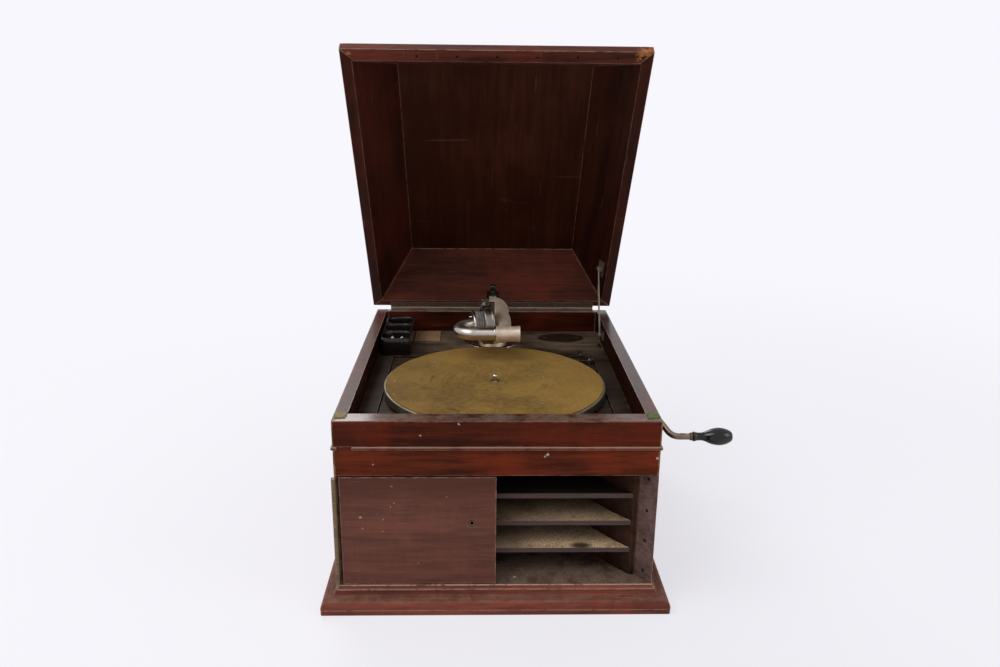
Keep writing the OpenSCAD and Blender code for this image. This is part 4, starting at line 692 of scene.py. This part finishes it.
def turned(name, outline, centre, axis, finish, body, steps=96, node=None):
    """A turned piece: each point of an outline, a distance along an axis and a radius, is carried
    round that axis, so a point is the centre, plus the distance along the axis, plus the radius
    times a direction that goes round by sine and cosine."""
    a = np.asarray(axis, float)
    u = np.cross(a, (0, 0, 1) if abs(a[2]) < 0.5 else (0, 1, 0))
    w = np.cross(a, u)
    v = around(steps)
    ring = u * np.cos(v)[:, None] + w * np.sin(v)[:, None]
    o = np.asarray(outline, float)
    points = np.asarray(centre, float) + o[:, None, :1] * a + o[:, None, 1:] * ring[None]
    wrap = not (o[0, 1] < 1e-6 and o[-1, 1] < 1e-6)
    grid_piece(name, points, finish, body, wrap, node)


def swept(name, path, radii, across, finish, body, steps=40, node=None):
    """A bent bar, closed at both ends: circles of given radii carried along a path, each square to
    it. A circle's cosine goes by the part of a fixed direction that is square to the path, its sine
    by the direction square to both."""
    c = np.asarray(path, float)
    t = np.gradient(c, axis=0)
    t /= np.linalg.norm(t, axis=1)[:, None]
    n = np.asarray(across, float) - (t @ np.asarray(across, float))[:, None] * t
    n /= np.linalg.norm(n, axis=1)[:, None]
    b = np.cross(t, n)
    r = np.broadcast_to(np.asarray(radii, float), len(c)).copy()
    c = np.vstack([c[:1], c, c[-1:]])
    n, b = np.vstack([n[:1], n, n[-1:]]), np.vstack([b[:1], b, b[-1:]])
    r = np.concatenate([[0], r, [0]])
    v = around(steps)
    cos, sin = np.cos(v)[None, :, None], np.sin(v)[None, :, None]
    points = c[:, None] + r[:, None, None] * (n[:, None] * cos + b[:, None] * sin)
    grid_piece(name, points, finish, body, node=node)


def dressed(node, finish, edge=None):
    """Stands a finished copy of a CAD node in its place: its doubles merged, its flat faces joined,
    and its edges rounded."""
    mesh = NODES[node].data.copy()
    bm = bmesh.new()
    bm.from_mesh(mesh)
    bmesh.ops.remove_doubles(bm, verts=bm.verts, dist=1e-6)
    bmesh.ops.dissolve_limit(bm, angle_limit=math.radians(0.6), verts=bm.verts, edges=bm.edges)
    bm.to_mesh(mesh)
    bm.free()
    if "custom_normal" in mesh.attributes:
        mesh.attributes.remove(mesh.attributes["custom_normal"])
    piece = shown(node + "_finished", mesh, finish)
    bevel = piece.modifiers.new("Rounded edges", "BEVEL")
    bevel.width = sizes().metal_edge if edge is None else edge
    bevel.segments = 3
    bevel.limit_method = "ANGLE"
    bevel.angle_limit = math.radians(32)
    bevel.harden_normals = True
    bevel.use_clamp_overlap = True
    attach(piece, NODES[node]["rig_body"])
    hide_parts(node)


def carried(finish, *nodes):
    """Gives CAD nodes that stay as they are a finish."""
    for node in nodes:
        painted(NODES[node].data, finish)


# Operators, one for each group of pieces

UP = (0, 0, 1)
ALONG_X = (1, 0, 0)

# Where the tone arm turns and how high it lies, and the sleeve that the sound box turns in
ARM_PIVOT_Y, ARM_LEVEL, SLEEVE_Y = 174.0, 268.0, 35.0


class GRAMOPHONE_OT_cabinet(bpy.types.Operator):
    """Walls, rails, foot and deck of the cabinet"""

    bl_idname = "gramophone.cabinet"
    bl_label = "Cabinet"

    def execute(self, context):
        boards = {"upper_front_rail": ("mahogany_x", 1), "lower_front_rail": ("mahogany_low", 1),
                  "back_panel": ("mahogany_x", 1), "side_panel_left": ("mahogany_y", 1),
                  "side_panel_right": ("mitred_wood", 1), "base_board": ("foot_wood_x", 1.4),
                  "plinth_moulding": ("foot_wood_x", 0.7), "floor_board": ("dusty_wood", 0.6),
                  "bead_moulding": ("bead_wood", 0.9), "motor_board": ("deck_wood", 0.5),
                  "board_surround": ("deck_wood", 0.5)}
        for node, (finish, share) in boards.items():
            dressed(node, finish, sizes().wood_edge * share)
        return {"FINISHED"}


class GRAMOPHONE_OT_horn(bpy.types.Operator):
    """Slats, boards and duct of the horn"""

    bl_idname = "gramophone.horn"
    bl_label = "Horn"

    def execute(self, context):
        dressed("horn_slats", "slat_wood", sizes().wood_edge * 1.2)
        carried("horn_wood", "horn_top", "horn_sides")
        carried("iron", "horn_elbow")
        return {"FINISHED"}


class GRAMOPHONE_OT_door(bpy.types.Operator):
    """Door and its hinge"""

    bl_idname = "gramophone.door"
    bl_label = "Door"

    def execute(self, context):
        dressed("door_panel", "door_wood", sizes().wood_edge)
        dressed("door_hinge_cabinet_leaf", "brass")
        dressed("door_hinge_door_leaf", "brass")
        carried("brass", "door_screws", "hinge_pins")
        return {"FINISHED"}


class GRAMOPHONE_OT_lid(bpy.types.Operator):
    """Lid, its hinge and its stay"""

    bl_idname = "gramophone.lid"
    bl_label = "Lid"

    def execute(self, context):
        edge = sizes().wood_edge
        dressed("lid_front_rail", "lid_wood_x", edge)
        dressed("lid_rear_rail", "lid_wood_x", edge)
        dressed("lid_side_rails", "lid_wood_y", edge)
        dressed("lid_panel", "lid_inside", edge * 0.5)
        for node in ("lid_hinge_cabinet_leaf", "lid_hinge_lid_leaf", "stay_bar", "stay_upper_bracket"):
            dressed(node, "hinge_steel")
        dressed("stay_lower_bracket", "dull_nickel")
        carried("hinge_steel", "lid_screws", "cabinet_screws")
        return {"FINISHED"}


class GRAMOPHONE_OT_turntable(bpy.types.Operator):
    """Turntable, felt and spindle"""

    bl_idname = "gramophone.turntable"
    bl_label = "Turntable"

    def execute(self, context):
        centre = (0, -46, 0)
        rim, top, under, wall = 152.4, 224.5, 213.5, 1.8
        bore, hub, hub_end = 3.9, 12, 212.5
        outline = rounded([(top, bore), (top, rim), (under, rim), (under, rim - wall),
                           (top - wall, rim - wall), (top - wall, hub), (hub_end, hub), (hub_end, bore),
                           (top, bore)],
                          [2.6, 0.7, 0.6, 2.0, 0.8, 0.8, 0.3])
        turned("turntable_plate", outline, centre, UP, "rim_nickel", "turntable", 192, node="turntable")
        # The felt: rings from its hole, over its top and back below; three sine waves make it ragged
        # towards the rim
        hole, felt_rim, thick = 4.3, 149.6, 1.5
        angle = around(240)
        ragged = 0.35 * np.sin(7 * angle + 1) + 0.25 * np.sin(23 * angle) + 0.15 * np.sin(61 * angle + 2)
        radius = np.concatenate([[hole, 4.35, 4.6, 5.4], np.linspace(9, 140, 30),
                                 [146, 148.6, 149.4, felt_rim, felt_rim, hole]])
        height = np.concatenate([[0.0, 0.9, 1.3, 1.45], np.full(30, thick),
                                 [thick, 1.45, 1.2, 0.6, 0.0, 0.0]])
        share = (radius / felt_rim) ** 6
        r = radius[:, None] + share[:, None] * ragged[None] * (height[:, None] > 0)
        rng = np.random.default_rng(7)
        lift = rng.normal(0, 0.03, r.shape) * (height[:, None] > 1.2)
        points = np.stack([centre[0] + r * np.cos(angle), centre[1] + r * np.sin(angle),
                           top + height[:, None] + lift], -1)
        grid_piece("turntable_cloth", points, "felt", "turntable", node="turntable_felt")
        carried("nickel", "spindle")
        return {"FINISHED"}


class GRAMOPHONE_OT_tone_arm(bpy.types.Operator):
    """Tone arm with its flange, bracket and sleeve"""

    bl_idname = "gramophone.tone_arm"
    bl_label = "Tone arm"

    def execute(self, context):
        # The tube rises on its pivot, bends forward in a quarter circle and runs level to the sleeve,
        # sliding to the right along a bell curve
        pivot, foot, bend = (0, ARM_PIVOT_Y, 0), 214.5, 24.0
        start = ARM_PIVOT_Y - bend
        rise = np.linspace(foot, ARM_LEVEL - bend, 10)
        turn = np.linspace(0, np.pi / 2, 24)
        ahead = np.linspace(start, 36, 60)[1:]
        shift = 2 + 13.6 * (1 - np.exp(-((start - ahead) / 29) ** 2))
        path = np.vstack([
            np.stack([0 * rise, 0 * rise + ARM_PIVOT_Y, rise], -1),
            np.stack([2 * np.sin(turn) ** 2, start + bend * np.cos(turn),
                      ARM_LEVEL - bend + bend * np.sin(turn)], -1),
            np.stack([shift, ahead, 0 * ahead + ARM_LEVEL], -1)])
        # Its radius by the height, by the angle in the bend, then by the place ahead; the corners are
        # softened by a mean of five neighbours
        taper = np.interp(-ahead, [-150, -140, -130, -120, -110, -100, -85, -60, -36],
                          [23.6, 21.0, 17.5, 14.6, 12.9, 11.9, 11.0, 10.4, 9.8])
        radii = np.concatenate([np.interp(rise, [foot, 217, 217.5, 240], [18.8, 18.8, 21, 21]),
                                np.interp(turn, [0, 0.8, 1.57], [21, 21.8, 23.6]), taper])
        radii[12:] = np.convolve(np.pad(radii, 2, mode="edge"), np.ones(5) / 5, "valid")[12:]
        swept("arm_tube", path, radii, ALONG_X, "arm_paint", "arm", 64, node="tone_arm")
        ring = rounded([(217.0, 20.6), (217.0, 23.3), (220.4, 23.3), (220.4, 20.6), (217.0, 20.6)],
                       [0.3, 1.2, 0.4])
        turned("arm_foot_ring", ring, pivot, UP, "arm_paint", "arm")
        sleeve = rounded([(2.8, 0), (2.8, 12.0), (4.6, 12.0), (4.6, 11.4), (36.2, 11.4), (36.2, 11.9),
                          (37.8, 11.9), (37.8, 9.4), (38.2, 0)], [0.6, 0.5, 0.3, 0.3, 0.3, 0.5, 2.5])
        turned("arm_sleeve", sleeve, (0, SLEEVE_Y, ARM_LEVEL), ALONG_X, "arm_paint", "arm")
        boss = rounded([(276, 2.9), (276, 6), (289.2, 6), (289.2, 2.9), (276, 2.9)], [0.2, 0.8, 0.3])
        turned("arm_boss", boss, pivot, UP, "arm_paint", "arm")
        flange = rounded([(213, 19.2), (213, 46), (215.2, 46), (216.5, 42.5), (216.5, 26), (215.9, 25),
                          (215.9, 23.8), (216.5, 22.8), (216.5, 19.2), (213, 19.2)],
                         [0.2, 0.8, 1.6, 0.4, 0.3, 0.3, 0.4, 0.3])
        turned("arm_plate", flange, pivot, UP, "nickel", "cabinet", node="arm_flange")
        dressed("arm_bracket", "dark_steel", 0.0006)
        knob = rounded([(292.7, 0), (292.7, 4.3), (296.4, 4.3), (296.7, 3.4), (297.2, 3.4), (297.4, 5.2),
                        (305.2, 5.2), (306.7, 4.2), (306.7, 0)], [0.2, 0.5, 0.2, 0.2, 0.4, 0.8, 0.6])
        turned("pivot_knob", knob, pivot, UP, "dark_steel", "cabinet", node="arm_pivot_screw")
        shank = rounded([(280.5, 0), (280.5, 2.5), (292.8, 2.5), (292.8, 0)], [0.3, 0.1])
        turned("pivot_shank", shank, pivot, UP, "dark_steel", "cabinet")
        return {"FINISHED"}


class GRAMOPHONE_OT_sound_box(bpy.types.Operator):
    """Gooseneck and sound box"""

    bl_idname = "gramophone.sound_box"
    bl_label = "Sound box"

    def execute(self, context):
        # The neck runs straight out of the sleeve and bends back to the sound box, 10 degrees short
        # of half a circle
        bend, neck_x = 21.5, -28.5
        box_turn = math.radians(10)
        straight = np.linspace(35.5, neck_x, 24)[:-1]
        angle = np.linspace(-np.pi / 2, -np.pi * 1.5 + box_turn, 60)
        path = np.vstack([
            np.stack([straight, 0 * straight + SLEEVE_Y, 0 * straight + ARM_LEVEL], -1),
            np.stack([neck_x + bend * np.cos(angle), SLEEVE_Y + bend + bend * np.sin(angle),
                      0 * angle + ARM_LEVEL], -1)])
        swept("gooseneck_tube", path, 9.5, UP, "neck_nickel", "sound_box", 56, node="gooseneck")
        collar = rounded([(0.2, 9.0), (0.2, 12.1), (2.45, 12.1), (2.45, 9.0), (0.2, 9.0)], [0.5, 0.5, 0.2])
        turned("gooseneck_collar", collar, (0, SLEEVE_Y, ARM_LEVEL), ALONG_X, "nickel", "sound_box")
        x = np.array([math.cos(box_turn), math.sin(box_turn), 0])
        across = np.array([-x[1], x[0], 0])
        # The box's outlines count from its front, so its back is at minus its length
        box_length, screw_circle, chuck_height = 33, 17.5, 38.2
        centre = path[-1] + box_length * x
        back = rounded([(-33, 0), (-33, 20.5), (-32.2, 22), (-30, 22), (-30, 0)], [0.8, 0.8, 0.4])
        turned("sound_box_back", back, centre, x, "nickel", "sound_box", node="soundbox_flange")
        for k, a in enumerate(np.radians([60, 180, 300])):
            head = rounded([(-35, 0), (-35, 1.6), (-34.2, 2.2), (-33, 2.2), (-32.5, 0)], [0.4, 0.5, 0.2])
            spot = centre - screw_circle * math.sin(a) * across + (0, 0, screw_circle * math.cos(a))
            turned(f"sound_box_screw_{k + 1}", head, spot, x, "nickel", "sound_box", 32)
        # The gasket's side swells and sinks as a cosine, three times
        waves = np.linspace(0, 1, 25)
        side = np.stack([-30 + 12 * waves, 20.3 + 0.5 * np.cos(waves * 6 * np.pi)], -1)
        outline = np.vstack([[[-30, 10.8]], side, [[-18, 10.8], [-30, 10.8]]])
        turned("sound_box_gasket", outline, centre, x, "rubber", "sound_box", node="soundbox_gasket")
        rim = rounded([(-18, 8.2), (-18, 27.2), (-16.8, 29.9), (-14.6, 29.9), (-14.0, 29.2), (-6.6, 29.2),
                       (-6.0, 29.9), (-3.6, 29.9), (-2.6, 28.2), (-2.6, 25.4), (-5.3, 24.6), (-15, 24.6),
                       (-15, 8.2), (-18, 8.2)],
                      [0.4, 1.0, 0.5, 0.3, 0.3, 0.4, 0.8, 0.8, 0.4, 0.6, 0.3, 0.3])
        turned("sound_box_ring", rim, centre, x, "ring_nickel", "sound_box", 128, node="soundbox_ring")
        carried("mica", "diaphragm")
        dressed("needle_bar", "chuck_nickel", 0.0004)
        screw = rounded([(-18.5, 0), (-18.5, 2.2), (-17.9, 2.6), (-15, 2.6), (-14.5, 1.2), (-11.6, 1.2),
                         (-11.5, 0)], [0.3, 0.3, 0.3, 0.3, 0.1])
        turned("needle_clamp_screw", screw, centre + (0, 0, chuck_height), x, "chuck_nickel", "needle_clamp",
               40, node="needle_screw")
        return {"FINISHED"}


class GRAMOPHONE_OT_crank(bpy.types.Operator):
    """Winding crank, its grip and its plate"""

    bl_idname = "gramophone.crank"
    bl_label = "Crank"

    def execute(self, context):
        # The rod lies in one plane: along the shaft, out by the throw, and along the grip's pin
        shaft = np.array([20.0, 182.0])
        grip = np.array([-46.0, 142.0])
        throw = np.linalg.norm(grip - shaft)
        across = (grip - shaft) / throw
        flat = rounded([(35, 0), (212, 0), (252, throw), (334, throw)], 11, 14)
        flat = np.vstack([np.linspace(flat[0], flat[1], 12)[:-1], flat[1:-1],
                          np.linspace(flat[-2], flat[-1], 6)])
        path = np.column_stack([flat[:, 0], shaft + flat[:, 1:] * across])
        square = (0, -across[1], across[0])
        shoulder, rod, pin = 281.4, 4.5, 3.2
        radii = np.where(path[:, 0] < shoulder, rod, pin)
        swept("crank_bar", path, radii, square, "crank_steel", "crank", 32, node="crank_rod")
        # The pinion's outline goes out to the tooth tips and in to their roots, once a tooth
        pinion_teeth = 16
        v = around(pinion_teeth * 8)
        r = np.where((np.arange(len(v)) % 8) < 4, 8.0, 6.4)
        x = np.array([35.0, 35.0, 42.0, 42.0])
        scale = np.array([0.0, 1.0, 1.0, 0.0])
        points = np.stack([np.broadcast_to(x[:, None], (4, len(v))),
                           shaft[0] + scale[:, None] * r * np.cos(v),
                           shaft[1] + scale[:, None] * r * np.sin(v)], -1)
        grid_piece("crank_pinion", points, "steel", "crank")
        end = (0, grip[0], grip[1])
        ferrule = rounded([(277, 4.4), (277, 5.0), (277.8, 5.6), (279.8, 5.6), (280.7, 5.2), (280.7, 4.4),
                           (277, 4.4)], [0.3, 0.4, 0.4, 0.3, 0.2])
        turned("crank_ferrule", ferrule, end, ALONG_X, "brass", "crank", 64)
        nut = rounded([(333.3, 0), (333.3, 4.9), (334.3, 4.9), (335, 4.0), (335, 0)], [0.3, 0.4, 0.4])
        turned("crank_end_washer", nut, end, ALONG_X, "steel", "crank", 48)
        outline = rounded([(281, 3.3), (281, 6.3), (282.4, 7.1), (284.0, 6.9), (286.2, 5.9), (290, 5.55),
                           (294.5, 5.6), (299, 7.0), (304, 9.5), (309.5, 11.4), (315.5, 12.4),
                           (319.5, 12.6), (324, 12.1), (329, 10.8), (333.5, 8.7), (336.6, 6.4),
                           (337, 5.2), (333, 5.2), (333, 3.3), (281, 3.3)],
                          [0.3, 0.7, 0.7, 1.5, 2, 2.4, 2.6, 3, 3, 3, 2, 2, 3, 2.5, 1.5, 0.4, 0.3, 0.2])
        turned("crank_handle", outline, end, ALONG_X, "black_grip", "grip", 96, node="crank_grip")
        dressed("crank_escutcheon", "dull_nickel")
        return {"FINISHED"}


def cup_tray():
    """The tray as rings round its middle, each a share of the outline where the 14th powers of x and
    y, over half the width and length, add up to 1. The height falls smoothly by the wells' depth
    where the same sum of 3rd powers, taken from a well's middle, is below 1."""
    low, high = (np.array(NODES["needle_cup_tray"].bound_box[k]) / MM for k in (0, 6))
    middle, half = (low + high) / 2, (high - low) / 2
    angle = around(384)
    share = np.linspace(0, 1, 130)[:, None]
    edge = ((np.abs(np.cos(angle)) / half[0]) ** 14 + (np.abs(np.sin(angle)) / half[1]) ** 14) ** (-1 / 14)
    x, y = share * edge * np.cos(angle), share * edge * np.sin(angle)
    z = high[2] - 1.2 * np.clip((share - 0.975) / 0.025, 0, 1) ** 2 + 0 * x
    pitch, well_depth = (2 * half[1] - 3) / 3, 23.4
    for k in (-1, 0, 1):
        sum_of_cubes = np.abs(x / (half[0] - 2.4)) ** 3 + np.abs((y - k * pitch) / (pitch / 2 - 1.0)) ** 3
        fall = np.clip((1 - sum_of_cubes ** (1 / 3)) / 0.2, 0, 1)
        z = z - well_depth * fall * fall * (3 - 2 * fall)
    rows = [np.stack([middle[0] + x, middle[1] + y, z], -1)]
    for s, h in ((1, low[2] + 0.6), (0.985, low[2]), (0, low[2])):
        rows.append(np.stack([middle[0] + s * x[-1], middle[1] + s * y[-1], 0 * angle + h], -1)[None])
    grid_piece("cup_tray", np.concatenate(rows), "tray_tin", "cabinet", node="needle_cup_tray")


class GRAMOPHONE_OT_deck_fittings(bpy.types.Operator):
    """Tray, needles, plates, brake and felt remnants"""

    bl_idname = "gramophone.deck_fittings"
    bl_label = "Deck fittings"

    def execute(self, context):
        cup_tray()
        # Seven needles lean left and right in the front well, each a thin bar with a point
        for k in range(7):
            foot = np.array([-165.5 + 4.4 * k, 112.0 + 3 * (k % 3), 218.2])
            lean = np.array([1.5 * ((k * 5) % 7 - 3), 9.0, 17.0])
            lean *= 20 / np.linalg.norm(lean)
            line = foot + np.outer([0, 0.4, 0.8, 0.93, 1], lean)
            swept(f"spare_needle_{k + 1}", line, [0.8, 0.8, 0.8, 0.45, 0.1], ALONG_X, "nickel", "cabinet",
                  12, None if k else "spare_needles")
        dressed("rear_plate", "plate_tan", 0.0004)
        dressed("oval_plate", "oval_tin", 0.0004)
        dressed("brake_lever", "ring_nickel")
        rng = np.random.default_rng(11)
        half_x, half_y = 8.2, 8.7
        x, y, z = 183.7, -222.0, 247.5
        angle = around(72)
        # Each remnant: rings from its middle to a squarish edge with three sine waves, its top rough
        for side, name, finish, phase, node in ((-1, "left", "felt_yellow", 0.4, "rim_felt_pads"),
                                                (1, "right", "felt_green", 2.1, None)):
            edge = 1 / np.maximum(np.abs(np.cos(angle)) / half_x, np.abs(np.sin(angle)) / half_y)
            torn = edge * (0.80 + 0.08 * np.sin(3 * angle + phase) + 0.06 * np.sin(8 * angle + 2 * phase)
                           + 0.04 * np.sin(17 * angle))
            share = np.array([0.0, 0.0, 0.35, 0.7, 0.92, 1.0, 1.0])
            height = np.array([0.0, 1.7, 1.8, 1.7, 1.5, 0.9, 0.0])
            r = share[:, None] * torn[None]
            r[0] = 0
            upper = (height[:, None] > 1.0) * (share[:, None] > 0)
            h = height[:, None] + rng.normal(0, 0.12, r.shape) * upper
            points = np.stack([side * x + r * np.cos(angle), y + r * np.sin(angle), z + h], -1)
            points[1] = points[1].mean(axis=0)
            grid_piece("felt_remnant_" + name, points[::-1], finish, "cabinet", node=node)
        return {"FINISHED"}


class GRAMOPHONE_OT_motor(bpy.types.Operator):
    """Spring motor under the deck"""

    bl_idname = "gramophone.motor"
    bl_label = "Motor"

    def execute(self, context):
        carried("iron", "motor_frame")
        carried("steel", "motor_bolts", "barrel_arbor", "spring_barrel")
        carried("spring_steel", "mainspring")
        carried("brass", "governor")
        return {"FINISHED"}


SKY = (0.939, 0.930, 0.982)

# Lamps: name, place, size and power
LAMPS = (("key", (-1.6, -1.0, 2.6), 2.2, 46), ("back", (-0.9, 2.6, 2.3), 1.8, 42),
         ("right", (2.6, -1.2, 1.6), 1.6, 16))
LAMPS_AIM = (0, 0, 0.25)

# The camera that took the photo: its place, and its yaw, pitch and roll
CAMERA_PLACE = (-0.02244, -1.14762, 0.63873)
CAMERA_TURN = (0.0262556, 0.3031409, 0.0110693)


class GRAMOPHONE_OT_stage(bpy.types.Operator):
    """Floor, lamps, sky and camera"""

    bl_idname = "gramophone.stage"
    bl_label = "Studio"

    def execute(self, context):
        scene = context.scene
        scene.view_settings.view_transform = "Standard"
        half = 12.0
        mesh = bpy.data.meshes.new("studio_floor")
        mesh.from_pydata([(-half, -half, 0), (half, -half, 0), (half, half, 0), (-half, half, 0)],
                         [], [(0, 1, 2, 3)])
        floor = bpy.data.objects.new("studio_floor", mesh)
        scene.collection.objects.link(floor)
        mesh.materials.append(floor_paint())
        sky_light()
        for name, place, size, power in LAMPS:
            lamp = bpy.data.lights.new("studio_" + name, "AREA")
            lamp.size = size
            lamp.energy = power
            made = bpy.data.objects.new("studio_" + name, lamp)
            made.location = place
            made.rotation_mode = "QUATERNION"
            made.rotation_quaternion = (Vector(LAMPS_AIM) - Vector(place)).to_track_quat("-Z", "Y")
            scene.collection.objects.link(made)
        yaw, pitch, roll = CAMERA_TURN
        level = math.cos(pitch)
        ahead = Vector((math.sin(yaw) * level, math.cos(yaw) * level, -math.sin(pitch)))
        right = Vector((math.cos(yaw), -math.sin(yaw), 0))
        up = right.cross(ahead)
        right_rolled = math.cos(roll) * right + math.sin(roll) * up
        up_rolled = -math.sin(roll) * right + math.cos(roll) * up
        camera = bpy.data.cameras.new("camera")
        camera.lens = sizes().camera_lens
        camera.sensor_width = 36
        made = bpy.data.objects.new("camera", camera)
        turn = Matrix((right_rolled, up_rolled, -ahead)).transposed().to_4x4()
        made.matrix_world = Matrix.Translation(CAMERA_PLACE) @ turn
        scene.collection.objects.link(made)
        scene.camera = made
        return {"FINISHED"}


def floor_paint():
    """Pale floor that shows white to the camera but keeps the object's shadow."""
    f = Finish("studio_floor")
    f.finish((0.84, 0.83, 0.85), 0.9, fixed={"Specular IOR Level": 0.1})
    rays = f.place.node("LightPath", out="Is Camera Ray")
    white = f.place.node("Emission", {}, {"Color": SKY, "Strength": 1.0})
    far = 1 - f.place.near((0, 0, 0), 1.9)
    share = rays * (far * 0.34 + 0.66)
    both = f.place.node("MixShader", {}, {0: share, 1: Wire(f.tree, f.shader.outputs[0]), 2: white})
    put(f.tree, f.tree.nodes["Material Output"].inputs["Surface"], both)
    return f.material


def sky_light():
    """Even pale light all round, white to the camera."""
    world = bpy.data.worlds.new("studio_sky")
    world.use_nodes = True
    tree = world.node_tree
    background = tree.nodes["Background"]
    start = Wire(tree, background.outputs[0])
    rays = start.node("LightPath", out="Is Camera Ray")
    glossy = start.node("LightPath", out="Is Glossy Ray")
    put(tree, background.inputs["Strength"], rays.most(glossy * 0.35) * 0.5 + 0.5)
    put(tree, background.inputs["Color"], SKY)
    bpy.context.scene.world = world


STEPS = ("cabinet", "horn", "door", "lid", "turntable", "tone_arm", "sound_box", "crank", "deck_fittings",
         "motor", "stage")


class GRAMOPHONE_PT_panel(bpy.types.Panel):
    """Sizes, colours and building steps of the gramophone"""

    bl_label = "Gramophone"
    bl_idname = "GRAMOPHONE_PT_panel"
    bl_space_type = "VIEW_3D"
    bl_region_type = "UI"
    bl_category = "Gramophone"

    def draw(self, context):
        for group in (context.scene.gramophone_sizes, context.scene.gramophone_colours):
            box = self.layout.box()
            for name in group.bl_rna.properties.keys():
                if name not in ("rna_type", "name"):
                    box.prop(group, name)
        for step in STEPS:
            self.layout.operator("gramophone." + step)


CLASSES = (GramophoneSizes, GramophoneColours, GRAMOPHONE_OT_cabinet, GRAMOPHONE_OT_horn, GRAMOPHONE_OT_door,
           GRAMOPHONE_OT_lid, GRAMOPHONE_OT_turntable, GRAMOPHONE_OT_tone_arm, GRAMOPHONE_OT_sound_box,
           GRAMOPHONE_OT_crank, GRAMOPHONE_OT_deck_fittings, GRAMOPHONE_OT_motor, GRAMOPHONE_OT_stage,
           GRAMOPHONE_PT_panel)


def register():
    for cls in CLASSES:
        bpy.utils.register_class(cls)
    bpy.types.Scene.gramophone_sizes = PointerProperty(type=GramophoneSizes)
    bpy.types.Scene.gramophone_colours = PointerProperty(type=GramophoneColours)


def unregister():
    del bpy.types.Scene.gramophone_colours
    del bpy.types.Scene.gramophone_sizes
    for cls in reversed(CLASSES):
        bpy.utils.unregister_class(cls)


def main():
    register()
    for step in STEPS:
        getattr(bpy.ops.gramophone, step)()
    bpy.context.view_layer.update()


if __name__ == "__main__":
    main()
